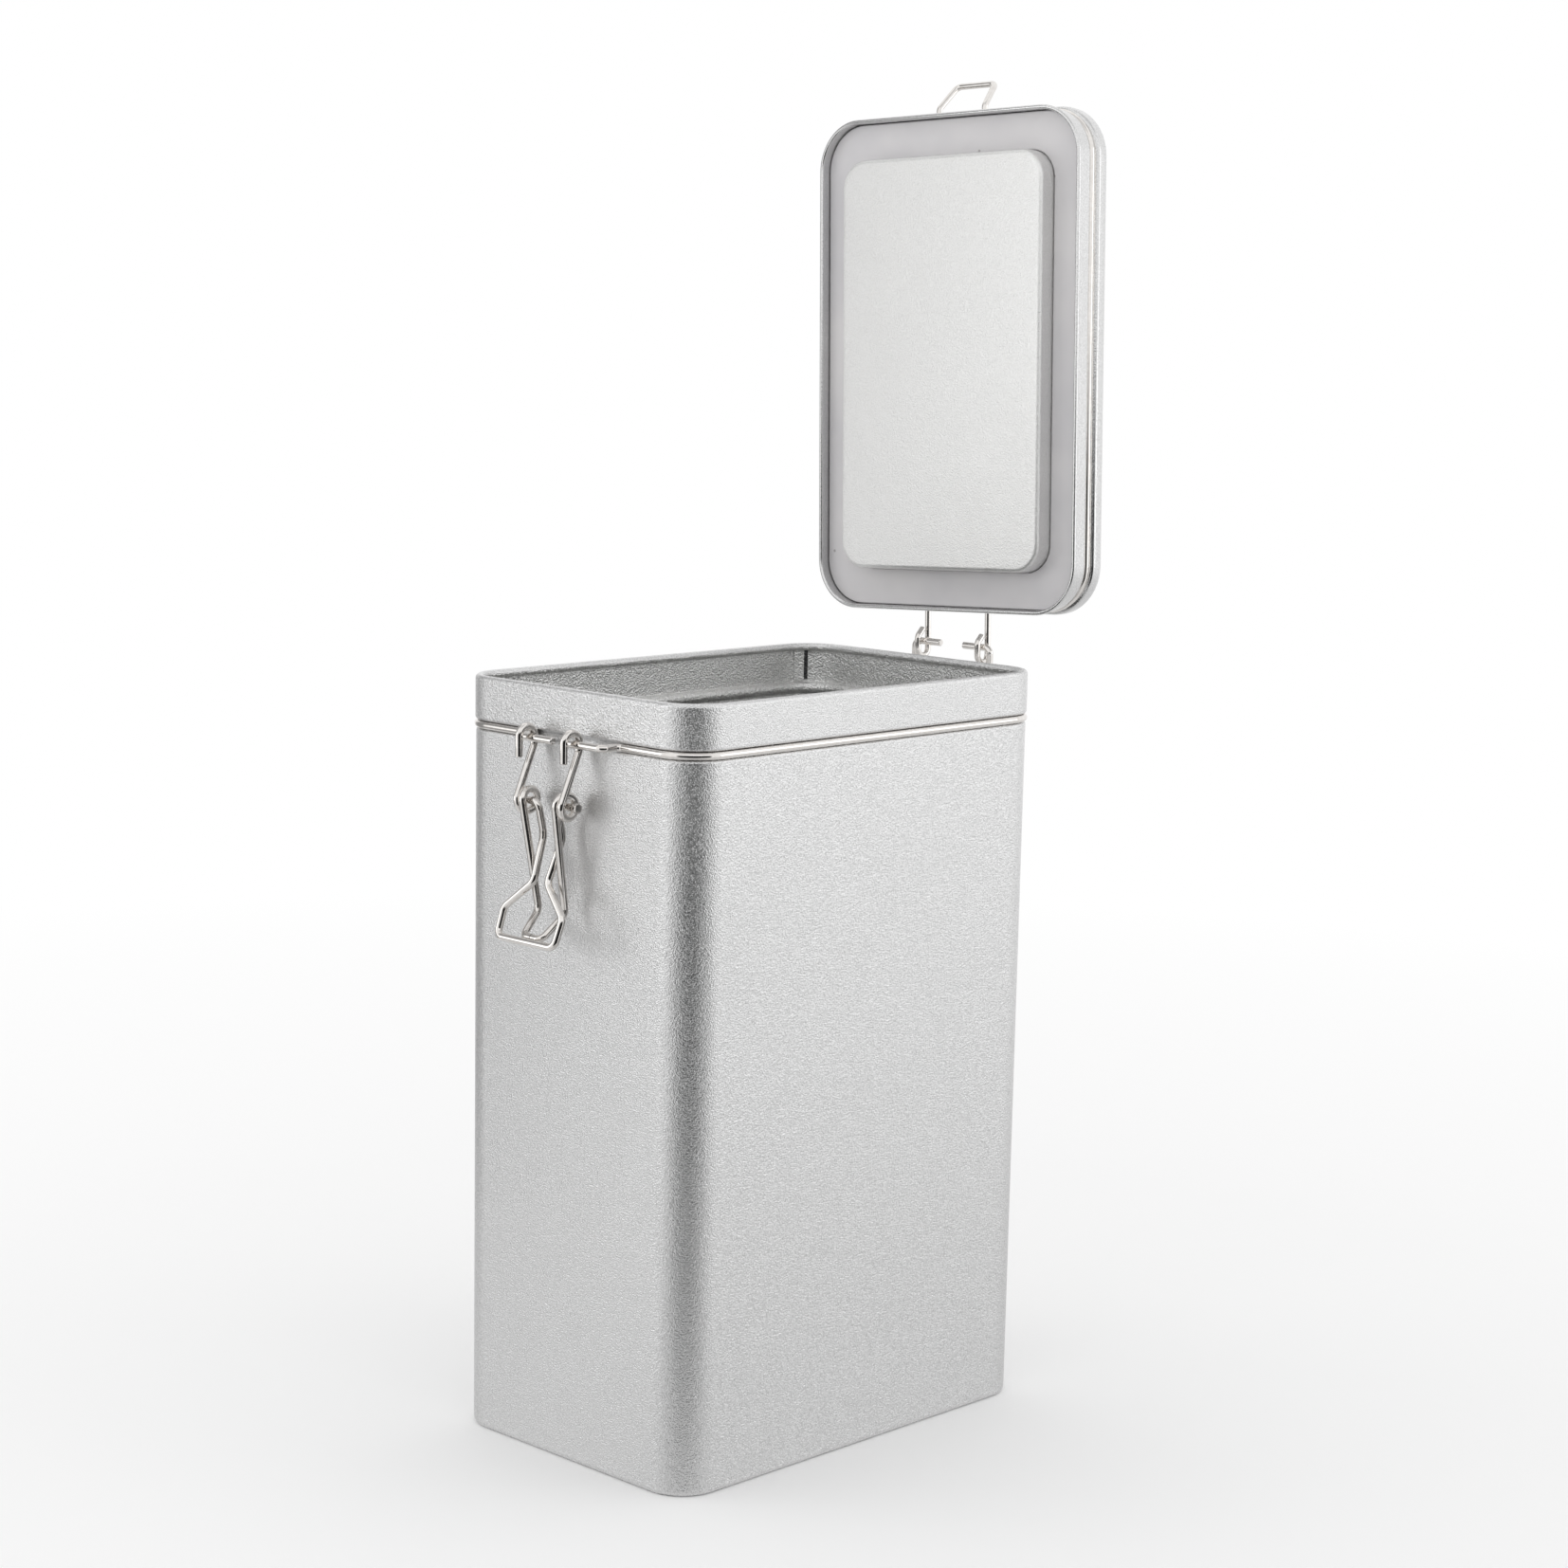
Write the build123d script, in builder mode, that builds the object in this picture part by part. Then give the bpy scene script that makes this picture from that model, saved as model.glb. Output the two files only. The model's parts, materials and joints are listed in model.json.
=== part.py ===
"""Airtight tin canister with a swing lid and a wire clip latch.

Frame: origin at the middle of the underside, +Z up, latch side towards -Y, lid hinge side towards +Y.
The lid is drawn closed and then turned open about its hinge, which is the rest pose.
"""
from math import acos, atan2, cos, degrees, hypot, radians, sin
import os

from build123d import *

# body
BODY_WIDTH = 79.0
BODY_DEPTH = 119.3
BODY_HEIGHT = 183.0
BODY_CORNER = 10.4
SHEET = 0.45
HEM_RADIUS = 1.1
FOOT_FLAT = 0.8
HEM_HEIGHT = 3.2
COLLAR_STEP = 0.2
RIM_CURL_RADIUS = 1.0
RIM_CURL_TURN = 255.0
GROOVE_DROP = 11.6
GROOVE_SLOPE = 70.0
GROOVE_LIP_RADIUS = 0.5
BASE_STEP = 1.2
BASE_LEDGE = 5.0

# wires
BAND_WIRE = 1.8
LATCH_WIRE = 1.8
LID_WIRE = 1.6
BAND_SINK = 0.45
BEND = 1.6
SEAT_GAP = 0.05

# lid
LID_SIDE_REACH = 1.65
LID_END_REACH = 1.85
LID_CORNER_REACH = 1.8
LID_SHIFT = 0.2
LID_HEIGHT = 12.2
LID_SHEET = 0.4
LID_BEAD_RADIUS = 0.45
LID_GROOVE_HEIGHT = 6.6
LID_WIRE_SINK = 0.6
LID_CROWN_STEP = 0.8
LID_EDGE_RADIUS = 2.0
SEAL_RECESS = 2.8
SEAL_THICKNESS = 1.6
SEAL_EDGE = 0.4
SEAL_SIDE_GAP = 0.1
SEAL_CLOSED_GAP = 0.3
PANEL_SIDE_INSET = 7.8
PANEL_END_INSET = 8.35
PANEL_CORNER = 7.0
PANEL_RISE = 5.0
PANEL_EDGE_RADIUS = 1.1
PANEL_LEDGE = 1.0

# hinge
HINGE_OUT = 10.65
HINGE_SKEW = 0.046
OPEN_ANGLE = 91.4
HINGE_POST_X = 12.1
HINGE_PIN_END_X = 4.0
EYE_X = 9.7
EYE_CLEARANCE = 0.35
EYE_LENGTH = 1.7
EYE_RETURN = 1.2
EYE_TIP_Y = 3.0
EYE_TIP_Z = 0.2

# latch
PIN_OUT = 4.55
PIN_SHIFT = 1.9
PIN_FREE_X = 2.6
PIN_BEND_X = 13.7
LATCH_X = -2.0
HOOK_X = 7.6
HOOK_CLEARANCE = 0.5
HOOK_OFFSET = 0.2
HOOK_FREE_DROP = 4.4
HOOK_BACK_DROP = 1.8
COIL_OUT = 5.05
COIL_DROP = 14.3
COIL_CLEARANCE = 0.8
COIL_GAP = 0.1
JOINT_SWELL = 0.02
ARM_KNEE = (4.5, 3.45, 39.6)
ARM_LIP = (3.1, 9.4, 44.9)
BAIL_HUB_X = 3.2
BAIL_END_X = 9.1
BAIL_KNEE = (3.2, 3.25, 22.1)
BAIL_NECK = (2.3, 6.95, 32.4)
BAIL_FLARE = (10.0, 9.15, 39.1)
BAIL_CORNER = (9.7, 11.5, 45.6)
BAIL_HEAD_SIZE = (1.4, 1.3, 2.5)
BAIL_BEND = 1.7

# lid hook
CATCH_X = 7.2
CATCH_BAR_X = 6.0
CATCH_REACH = 3.0
CATCH_BAR_OUT = 7.7
CATCH_BAR_Z = 5.7

# derived fits
FRONT_Y = -BODY_DEPTH / 2
GROOVE_HEIGHT = BODY_HEIGHT - GROOVE_DROP
LID_WIDTH = BODY_WIDTH + 2 * LID_SIDE_REACH
LID_DEPTH = BODY_DEPTH + 2 * LID_END_REACH
LID_CORNER = BODY_CORNER + LID_CORNER_REACH
PANEL_WIDTH = BODY_WIDTH - 2 * PANEL_SIDE_INSET
PANEL_DEPTH = BODY_DEPTH - 2 * PANEL_END_INSET
LID_RIM_Z = BODY_HEIGHT + SEAL_CLOSED_GAP - SEAL_RECESS
LID_BAND_Z = LID_RIM_Z + LID_GROOVE_HEIGHT
EYE_RADIUS = (BAND_WIRE + LID_WIRE) / 2 + EYE_CLEARANCE
HINGE_Y = BODY_DEPTH / 2 + HINGE_OUT
HINGE_Z = LID_BAND_Z - EYE_RADIUS
PIN_Y = FRONT_Y - PIN_OUT
HOOK_RADIUS = (BAND_WIRE + LATCH_WIRE) / 2 + HOOK_CLEARANCE
COIL_Y = FRONT_Y - COIL_OUT
COIL_Z = GROOVE_HEIGHT - COIL_DROP
COIL_RADIUS = LATCH_WIRE + COIL_CLEARANCE
COIL_PITCH = LATCH_WIRE + COIL_GAP
CATCH_BAR_Y = LID_SHIFT - LID_DEPTH / 2 - CATCH_BAR_OUT
COLLAR_CENTRE = COLLAR_STEP - SHEET / 2
HINGE_DIRECTION = Vector(1, HINGE_SKEW, 0).normalized()
HINGE_AXIS = Axis((0, HINGE_Y, HINGE_Z), HINGE_DIRECTION)


def rounded_loop(width, depth, corner, centre_y=0.0):
    """Closed loop of straight sides and corner arcs, starting at the middle of the +X side."""
    half_x = width / 2
    half_y = depth / 2
    with BuildLine() as loop:
        side = Line((half_x, centre_y), (half_x, centre_y + half_y - corner))
        turn = JernArc(side @ 1, side % 1, corner, 90)
        side = Line(turn @ 1, (-half_x + corner, centre_y + half_y))
        turn = JernArc(side @ 1, side % 1, corner, 90)
        side = Line(turn @ 1, (-half_x, centre_y - half_y + corner))
        turn = JernArc(side @ 1, side % 1, corner, 90)
        side = Line(turn @ 1, (half_x - corner, centre_y - half_y))
        turn = JernArc(side @ 1, side % 1, corner, 90)
        Line(turn @ 1, (half_x, centre_y))
    return loop.wires()[0]


def sheet_section(start, heading, moves, thickness):
    """Closed outline of a bent sheet: start on its middle line, then straights and turns."""
    half = thickness / 2
    across = Vector(-sin(radians(heading)), cos(radians(heading)))
    with BuildSketch() as section:
        with BuildLine():
            ends = []
            for side in (1, -1):
                point = Vector(*start) + across * half * side
                first = point
                direction = Vector(cos(radians(heading)), sin(radians(heading)))
                for kind, size, *turn in moves:
                    if kind == "run":
                        step = Line(point, point + direction * size)
                    else:
                        sign = 1 if turn[0] > 0 else -1
                        step = JernArc(point, direction, size - half * side * sign, turn[0])
                    point = step @ 1
                    direction = step % 1
                ends.append((first, point))
            Line(ends[0][0], ends[1][0])
            Line(ends[0][1], ends[1][1])
        make_face()
    return section.sketch


def groove_moves(lip, seat, depth, slope, rise):
    """Turns of a rounded groove pressed to the left of the heading, ending offset by rise."""
    straight = (depth - (lip + seat) * (1 - cos(radians(slope)))) / sin(radians(slope))
    lower = [("turn", lip, slope), ("run", straight), ("turn", seat, -2 * slope)]
    upper = [("run", straight + rise / sin(radians(slope))), ("turn", lip, slope)]
    half_height = (lip + seat) * sin(radians(slope)) + straight * cos(radians(slope))
    return lower + upper, half_height, half_height + rise / sin(radians(slope)) * cos(radians(slope))


def rounded_path(stations):
    """Lines joined by tangent arcs; each station is a point and its bend radius."""
    points = [Vector(*point) for point, _ in stations]
    with BuildLine() as path:
        here = points[0]
        for index in range(1, len(points) - 1):
            radius = stations[index][1]
            back = (points[index - 1] - points[index]).normalized()
            ahead = (points[index + 1] - points[index]).normalized()
            half_angle = acos(max(-1.0, min(1.0, back.dot(ahead)))) / 2
            trim = radius * cos(half_angle) / sin(half_angle)
            middle = (back + ahead).normalized()
            apex = points[index] + middle * (radius / sin(half_angle) - radius)
            entry = points[index] + back * trim
            leave = points[index] + ahead * trim
            if (entry - here).length > 1e-6:
                Line(here, entry)
            ThreePointArc(entry, apex, leave)
            here = leave
        Line(here, points[-1])
    return path.wires()[0]


def wire_solid(path, diameter, winding=False):
    """Round wire swept along a path; winding keeps a coil from twisting."""
    with BuildPart() as wire:
        with BuildSketch(Plane(origin=path @ 0, z_dir=path % 0)):
            Circle(diameter / 2)
        sweep(path=path, is_frenet=winding)
    return wire.part


def section_plane(half_width, height=0.0):
    """Plane across the +X side: local x points outwards, local y points up."""
    return Plane(origin=(half_width, 0, height), x_dir=(1, 0, 0), z_dir=(0, -1, 0))


# body shell
body_groove, groove_below, groove_above = groove_moves(
    GROOVE_LIP_RADIUS,
    BAND_WIRE / 2 + SEAT_GAP + SHEET / 2,
    BAND_SINK + BAND_WIRE / 2 + SEAT_GAP,
    GROOVE_SLOPE,
    COLLAR_STEP,
)
hem_x = -SHEET / 2 - 2 * HEM_RADIUS - FOOT_FLAT
hem_turn_z = HEM_RADIUS + SHEET / 2
curl_radius = RIM_CURL_RADIUS - SHEET / 2
body_moves = [("run", HEM_HEIGHT - hem_turn_z), ("turn", HEM_RADIUS, 90.0)]
body_moves += [("run", FOOT_FLAT), ("turn", HEM_RADIUS, 90.0)]
body_moves += [("run", GROOVE_HEIGHT - groove_below - hem_turn_z)]
body_moves += body_groove
body_moves += [("run", BODY_HEIGHT - RIM_CURL_RADIUS - GROOVE_HEIGHT - groove_above)]
body_moves += [("turn", curl_radius, RIM_CURL_TURN)]

with BuildPart() as body_shell:
    with BuildSketch(section_plane(BODY_WIDTH / 2)):
        add(sheet_section((hem_x, HEM_HEIGHT), -90.0, body_moves, SHEET))
    sweep(path=rounded_loop(BODY_WIDTH, BODY_DEPTH, BODY_CORNER))

# base plate held in the foot
base_edge = SHEET + SEAT_GAP
base_width = BODY_WIDTH - 2 * base_edge
base_depth = BODY_DEPTH - 2 * base_edge
base_corner = BODY_CORNER - base_edge
with BuildPart() as base_plate:
    with BuildSketch(Plane.XY.offset(HEM_HEIGHT)):
        RectangleRounded(base_width, base_depth, base_corner)
    extrude(amount=SHEET)
    with BuildSketch(Plane.XY.offset(HEM_HEIGHT + SHEET)):
        RectangleRounded(base_width - 2 * BASE_LEDGE, base_depth - 2 * BASE_LEDGE, base_corner - BASE_LEDGE)
    extrude(amount=BASE_STEP, taper=20)
    with BuildSketch(Plane.XY.offset(HEM_HEIGHT)):
        inner_edge = BASE_LEDGE + SHEET
        RectangleRounded(base_width - 2 * inner_edge, base_depth - 2 * inner_edge, base_corner - inner_edge)
    extrude(amount=BASE_STEP, taper=20, mode=Mode.SUBTRACT)


def hinge_point(x):
    """Point of the hinge line at a distance across the canister."""
    return Vector(x, HINGE_Y + HINGE_SKEW * x, HINGE_Z)


def body_band(side):
    """Half of the wire round the body: front pin, groove run and rear hinge pin."""
    run_x = side * (BODY_WIDTH / 2 - BAND_SINK)
    run_y = BODY_DEPTH / 2 - BAND_SINK
    corner = BODY_CORNER - BAND_SINK
    free = PIN_SHIFT + side * PIN_FREE_X
    bend = PIN_SHIFT + side * PIN_BEND_X
    post = hinge_point(side * HINGE_POST_X)
    end = hinge_point(side * HINGE_PIN_END_X)
    stations = [
        ((free, PIN_Y, GROOVE_HEIGHT), 0),
        ((bend, PIN_Y, GROOVE_HEIGHT), BEND),
        ((bend, -run_y, GROOVE_HEIGHT), BEND),
        ((run_x, -run_y, GROOVE_HEIGHT), corner),
        ((run_x, run_y, GROOVE_HEIGHT), corner),
        ((post.X, run_y, GROOVE_HEIGHT), BEND),
        ((post.X, post.Y, GROOVE_HEIGHT), BEND),
        ((post.X, post.Y, post.Z), BEND),
        ((end.X, end.Y, end.Z), 0),
    ]
    return wire_solid(rounded_path(stations), BAND_WIRE)


with BuildPart() as body_band_left:
    add(body_band(-1))

with BuildPart() as body_band_right:
    add(body_band(1))


# lid shell, drawn closed
lid_groove, lid_groove_below, lid_groove_above = groove_moves(
    GROOVE_LIP_RADIUS,
    LID_WIRE / 2 + SEAT_GAP + LID_SHEET / 2,
    LID_WIRE_SINK + LID_WIRE / 2 + SEAT_GAP,
    GROOVE_SLOPE,
    LID_CROWN_STEP,
)
skirt_centre = -LID_BEAD_RADIUS - LID_SHEET / 2
crown_centre = skirt_centre + LID_CROWN_STEP
edge_turn = LID_EDGE_RADIUS - LID_SHEET / 2
lid_moves = [("run", LID_GROOVE_HEIGHT - lid_groove_below - LID_BEAD_RADIUS)]
lid_moves += lid_groove
lid_moves += [("run", LID_HEIGHT - LID_EDGE_RADIUS - LID_GROOVE_HEIGHT - lid_groove_above)]
lid_moves += [("turn", edge_turn, 90.0), ("run", LID_EDGE_RADIUS)]
lid_path = rounded_loop(LID_WIDTH, LID_DEPTH, LID_CORNER, LID_SHIFT)
top_inset = LID_EDGE_RADIUS - crown_centre
with BuildPart() as lid_shell:
    with BuildSketch(section_plane(LID_WIDTH / 2, LID_RIM_Z)):
        add(sheet_section((skirt_centre, LID_BEAD_RADIUS), 90.0, lid_moves, LID_SHEET))
        with Locations((-LID_BEAD_RADIUS, LID_BEAD_RADIUS)):
            Circle(LID_BEAD_RADIUS)
    sweep(path=lid_path)
    with BuildSketch(Plane.XY.offset(LID_RIM_Z + LID_HEIGHT - LID_SHEET)):
        with Locations((0, LID_SHIFT)):
            RectangleRounded(LID_WIDTH - 2 * top_inset, LID_DEPTH - 2 * top_inset, LID_CORNER - top_inset)
    extrude(amount=LID_SHEET)

# raised inner plate of the lid
skirt_inside = LID_BEAD_RADIUS + LID_SHEET
flange_z = SEAL_RECESS + SEAL_THICKNESS + SEAL_SIDE_GAP
flange_inset = skirt_inside + SEAT_GAP
flange_turn = LID_SHEET + SEAT_GAP
panel_turn = PANEL_EDGE_RADIUS - LID_SHEET / 2
panel_face = SEAL_RECESS - PANEL_RISE
panel_wall = flange_z + LID_SHEET / 2 - flange_turn - panel_face - PANEL_EDGE_RADIUS
panel_moves = [("run", PANEL_LEDGE), ("turn", flange_turn, 90.0), ("run", panel_wall)]
panel_moves += [("turn", panel_turn, -90.0), ("run", PANEL_EDGE_RADIUS)]
panel_inset = PANEL_EDGE_RADIUS + LID_SHEET
ledge = flange_turn - LID_SHEET / 2 + PANEL_LEDGE
with BuildPart() as lid_inner_plate:
    with BuildSketch(section_plane(PANEL_WIDTH / 2, LID_RIM_Z)):
        add(sheet_section((ledge, flange_z + LID_SHEET / 2), 180.0, panel_moves, LID_SHEET))
    sweep(path=rounded_loop(PANEL_WIDTH, PANEL_DEPTH, PANEL_CORNER, LID_SHIFT))
    with BuildSketch(Plane.XY.offset(LID_RIM_Z + flange_z)):
        with Locations((0, LID_SHIFT)):
            RectangleRounded(LID_WIDTH - 2 * flange_inset, LID_DEPTH - 2 * flange_inset, LID_CORNER - flange_inset)
            RectangleRounded(PANEL_WIDTH + ledge, PANEL_DEPTH + ledge, PANEL_CORNER + ledge / 2, mode=Mode.SUBTRACT)
    extrude(amount=LID_SHEET)
    with BuildSketch(Plane.XY.offset(LID_RIM_Z + panel_face)):
        with Locations((0, LID_SHIFT)):
            RectangleRounded(PANEL_WIDTH - 2 * panel_inset, PANEL_DEPTH - 2 * panel_inset, PANEL_CORNER - panel_inset)
    extrude(amount=LID_SHEET)

# sealing ring
seal_outer = skirt_inside + SEAL_SIDE_GAP
with BuildPart() as lid_gasket:
    with BuildSketch(Plane.XY.offset(LID_RIM_Z + SEAL_RECESS)):
        with Locations((0, LID_SHIFT)):
            RectangleRounded(LID_WIDTH - 2 * seal_outer, LID_DEPTH - 2 * seal_outer, LID_CORNER - seal_outer)
            seal_hole = 2 * SEAL_SIDE_GAP
            RectangleRounded(
                PANEL_WIDTH + seal_hole,
                PANEL_DEPTH + seal_hole,
                PANEL_CORNER + SEAL_SIDE_GAP,
                mode=Mode.SUBTRACT,
            )
    extrude(amount=SEAL_THICKNESS)
    fillet(lid_gasket.edges().group_by(Axis.Z)[0], SEAL_EDGE)


def lid_band_half(side):
    """Half of the wire round the lid: hinge eye, rear leg, groove run and front catch."""
    sink = LID_BEAD_RADIUS + LID_WIRE_SINK
    run_x = side * (LID_WIDTH / 2 - sink)
    rear_y = LID_SHIFT + LID_DEPTH / 2 - sink
    front_y = LID_SHIFT - LID_DEPTH / 2 + sink
    corner = LID_CORNER - sink
    eye = hinge_point(side * EYE_X)
    eye_end = eye.Y + EYE_LENGTH + EYE_RADIUS
    low = eye.Z - EYE_RADIUS
    catch = side * CATCH_X
    bar = side * CATCH_BAR_X
    stations = [
        ((eye.X, eye.Y - EYE_TIP_Y, eye.Z - EYE_TIP_Z), 0),
        ((eye.X, eye.Y - EYE_RETURN, low), BEND),
        ((eye.X, eye_end, low), EYE_RADIUS - SEAT_GAP),
        ((eye.X, eye_end, LID_BAND_Z), EYE_RADIUS - SEAT_GAP),
        ((eye.X, rear_y, LID_BAND_Z), BEND),
        ((run_x, rear_y, LID_BAND_Z), corner),
        ((run_x, front_y, LID_BAND_Z), corner),
        ((catch, front_y, LID_BAND_Z), BEND),
        ((catch, front_y - CATCH_REACH, LID_BAND_Z), BEND),
        ((bar, CATCH_BAR_Y, LID_BAND_Z + CATCH_BAR_Z), BEND),
        ((0, CATCH_BAR_Y, LID_BAND_Z + CATCH_BAR_Z), 0),
    ]
    return wire_solid(rounded_path(stations), LID_WIRE)


with BuildPart() as lid_band:
    add(lid_band_half(1))
    add(lid_band_half(-1))


# latch lever
def latch_point(place):
    """Left-hand point of the latch from its half width, its reach off the front and its drop."""
    return (LATCH_X - place[0], FRONT_Y - place[1], GROOVE_HEIGHT - place[2])


def tangent_point(outside, heading_side):
    """Point where a line from outside touches the coil, and its angle round the coil."""
    away = Vector(outside[0] - COIL_Y, outside[1] - COIL_Z)
    reach = hypot(away.X, away.Y)
    angle = atan2(away.Y, away.X) + heading_side * acos(COIL_RADIUS / reach)
    return COIL_Y + COIL_RADIUS * cos(angle), COIL_Z + COIL_RADIUS * sin(angle), angle


def latch_lever_half():
    """One side of the lever: hook on the pin, leg, coil eye, arm and half of the finger lip."""
    centre_y = PIN_Y - HOOK_OFFSET
    centre_z = GROOVE_HEIGHT + HOOK_OFFSET
    front = centre_y - HOOK_RADIUS
    back = centre_y + HOOK_RADIUS
    top = centre_z + HOOK_RADIUS
    leg_x = LATCH_X - HOOK_X
    back_foot = (back, centre_z - HOOK_BACK_DROP)
    knee = latch_point(ARM_KNEE)
    lip = latch_point(ARM_LIP)
    leg_y, leg_z, leg_angle = tangent_point(back_foot, 1)
    arm_y, arm_z, arm_angle = tangent_point((knee[1], knee[2]), -1)
    turns = 1 + (degrees(arm_angle - leg_angle) % 360) / 360
    arm_x = leg_x + COIL_PITCH * turns
    hook_stations = [
        ((leg_x, front, GROOVE_HEIGHT - HOOK_FREE_DROP), 0),
        ((leg_x, front, top), HOOK_RADIUS - SEAT_GAP),
        ((leg_x, back, top), HOOK_RADIUS - SEAT_GAP),
        ((leg_x, back_foot[0], back_foot[1]), BEND),
        ((leg_x, leg_y, leg_z), 0),
    ]
    arm_stations = [
        ((arm_x, arm_y, arm_z), 0),
        (knee, BEND),
        (lip, BEND),
        ((LATCH_X, lip[1], lip[2]), 0),
    ]
    with BuildLine() as coil:
        Helix(COIL_PITCH, COIL_PITCH * turns, COIL_RADIUS)
    eye = wire_solid(coil.wires()[0], LATCH_WIRE, winding=True)
    eye_plane = Plane(
        origin=(leg_x, COIL_Y, COIL_Z),
        x_dir=(0, cos(leg_angle), sin(leg_angle)),
        z_dir=(1, 0, 0),
    )
    with BuildPart() as half:
        add(wire_solid(rounded_path(hook_stations), LATCH_WIRE))
        with Locations((leg_x, leg_y, leg_z)):
            Sphere(LATCH_WIRE / 2 + JOINT_SWELL)
        with Locations(eye_plane.location):
            add(eye)
        with Locations((arm_x, arm_y, arm_z)):
            Sphere(LATCH_WIRE / 2 + JOINT_SWELL)
        add(wire_solid(rounded_path(arm_stations), LATCH_WIRE))
    return half.part


with BuildPart() as latch_lever:
    add(latch_lever_half())
    mirror(about=Plane(origin=(LATCH_X, 0, 0), z_dir=(1, 0, 0)))


# latch bail
bail_corner = latch_point(BAIL_CORNER)
bail_stations = [
    ((LATCH_X - BAIL_END_X, COIL_Y, COIL_Z), 0),
    ((LATCH_X - BAIL_HUB_X, COIL_Y, COIL_Z), BAIL_BEND),
    (latch_point(BAIL_KNEE), BAIL_BEND),
    (latch_point(BAIL_NECK), BAIL_BEND),
    (latch_point(BAIL_FLARE), BAIL_BEND),
    (bail_corner, BAIL_BEND),
    ((LATCH_X, bail_corner[1], bail_corner[2]), 0),
]
with BuildPart() as latch_bail:
    add(wire_solid(rounded_path(bail_stations), LATCH_WIRE))
    with Locations((LATCH_X - BAIL_END_X, COIL_Y, COIL_Z)):
        Box(*BAIL_HEAD_SIZE)
    mirror(about=Plane(origin=(LATCH_X, 0, 0), z_dir=(1, 0, 0)))


fixed = [
    (body_shell, "body_shell"),
    (base_plate, "base_plate"),
    (body_band_left, "body_band_left"),
    (body_band_right, "body_band_right"),
    (latch_lever, "latch_lever"),
    (latch_bail, "latch_bail"),
]
lid_pieces = [
    (lid_shell, "lid_shell"),
    (lid_inner_plate, "lid_inner_plate"),
    (lid_gasket, "lid_gasket"),
    (lid_band, "lid_band"),
]

os.makedirs("parts", exist_ok=True)
for piece, name in fixed:
    piece.part.label = name
    export_step(piece.part, f"parts/{name}.step")
for piece, name in lid_pieces:
    opened = piece.part.rotate(HINGE_AXIS, -OPEN_ANGLE)
    opened.label = name
    export_step(opened, f"parts/{name}.step")
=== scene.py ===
"""Dressed model of a tinplate canister with a swing lid and a wire clip latch.

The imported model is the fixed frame. Sheet pieces are folded sections rolled round a rounded rectangle, and
wire pieces are bent from round wire. Sizes are in millimetres and are turned into metres when a mesh is
finished. The lid is made closed and then turned open about the frame's own hinge.
"""

from __future__ import annotations

import json
import logging
import math
from dataclasses import dataclass, field
from enum import Enum

import bmesh
import bpy
from mathutils import Matrix, Vector, noise

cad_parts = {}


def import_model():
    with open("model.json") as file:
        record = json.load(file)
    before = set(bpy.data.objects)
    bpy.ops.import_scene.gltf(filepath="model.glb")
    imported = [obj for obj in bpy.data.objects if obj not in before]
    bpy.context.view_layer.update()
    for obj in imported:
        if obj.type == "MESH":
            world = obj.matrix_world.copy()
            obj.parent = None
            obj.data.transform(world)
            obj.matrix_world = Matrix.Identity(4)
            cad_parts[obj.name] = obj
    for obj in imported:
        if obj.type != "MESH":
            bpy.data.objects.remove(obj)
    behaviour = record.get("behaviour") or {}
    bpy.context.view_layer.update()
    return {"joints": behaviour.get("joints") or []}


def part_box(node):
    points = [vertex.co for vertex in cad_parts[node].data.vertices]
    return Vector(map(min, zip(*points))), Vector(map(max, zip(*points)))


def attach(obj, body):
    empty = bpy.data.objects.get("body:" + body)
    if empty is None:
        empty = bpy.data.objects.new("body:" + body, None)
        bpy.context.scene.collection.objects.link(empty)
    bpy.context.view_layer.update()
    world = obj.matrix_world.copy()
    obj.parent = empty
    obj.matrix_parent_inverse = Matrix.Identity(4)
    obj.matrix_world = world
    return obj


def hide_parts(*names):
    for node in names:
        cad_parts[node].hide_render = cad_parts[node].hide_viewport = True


LOG = logging.getLogger("canister")
MM = 0.001
SHARP_FROM = math.radians(40.0)  # faces that meet at more than this keep a sharp edge
SEAT_GAP = 0.05  # between a wire and the sheet or wire that it lies on
GROOVE_SLOPE = 70.0
GROOVE_LIP = 0.5  # middle-line radius of a groove's lips
SIDE_WAYS = Vector((1, 0, 0))
UP = Vector((0, 0, 1))
WHITE = (1.0, 1.0, 1.0, 1.0)

Mesh = bmesh.types.BMesh
Vert = bmesh.types.BMVert
Edge = bmesh.types.BMEdge
Material = bpy.types.Material
Tree = bpy.types.NodeTree
Stations = list[tuple[Vector, float]]  # corner points of a wire, with the bend radius at each


class Slot(Enum):
    """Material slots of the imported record."""

    TINPLATE = "tinplate"
    WIRE = "wire"
    SEAL = "seal"


class Body(Enum):
    """Moving bodies of the frame."""

    CAN = "body"
    LID = "lid"
    LEVER = "lever"
    BAIL = "bail"


@dataclass(frozen=True)
class Run:
    """A straight stretch of a folded sheet."""

    length: float


@dataclass(frozen=True)
class Turn:
    """An arc of a folded sheet; positive turns bend to the left of the heading."""

    radius: float
    degrees: float


Moves = list[Run | Turn]


@dataclass(frozen=True)
class Outline:
    """Rounded rectangle that a section is rolled round, with its height above the floor."""

    width: float
    depth: float
    corner: float
    centre_y: float = 0.0
    height: float = 0.0


@dataclass(frozen=True)
class Hinge:
    """The lid's hinge line and how far the lid stands open, read from the frame."""

    point: Vector
    axis: Vector
    open_angle: float

    def opened(self) -> Matrix:
        """Turn that takes a closed lid to the rest pose."""
        return Matrix.Rotation(-self.open_angle, 3, self.axis)

    def at(self, x: float) -> Vector:
        """Point of the hinge line at a distance across the canister."""
        return self.point + self.axis * (x - self.point.x) / self.axis.x


# Folding, rolling and bending


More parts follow.
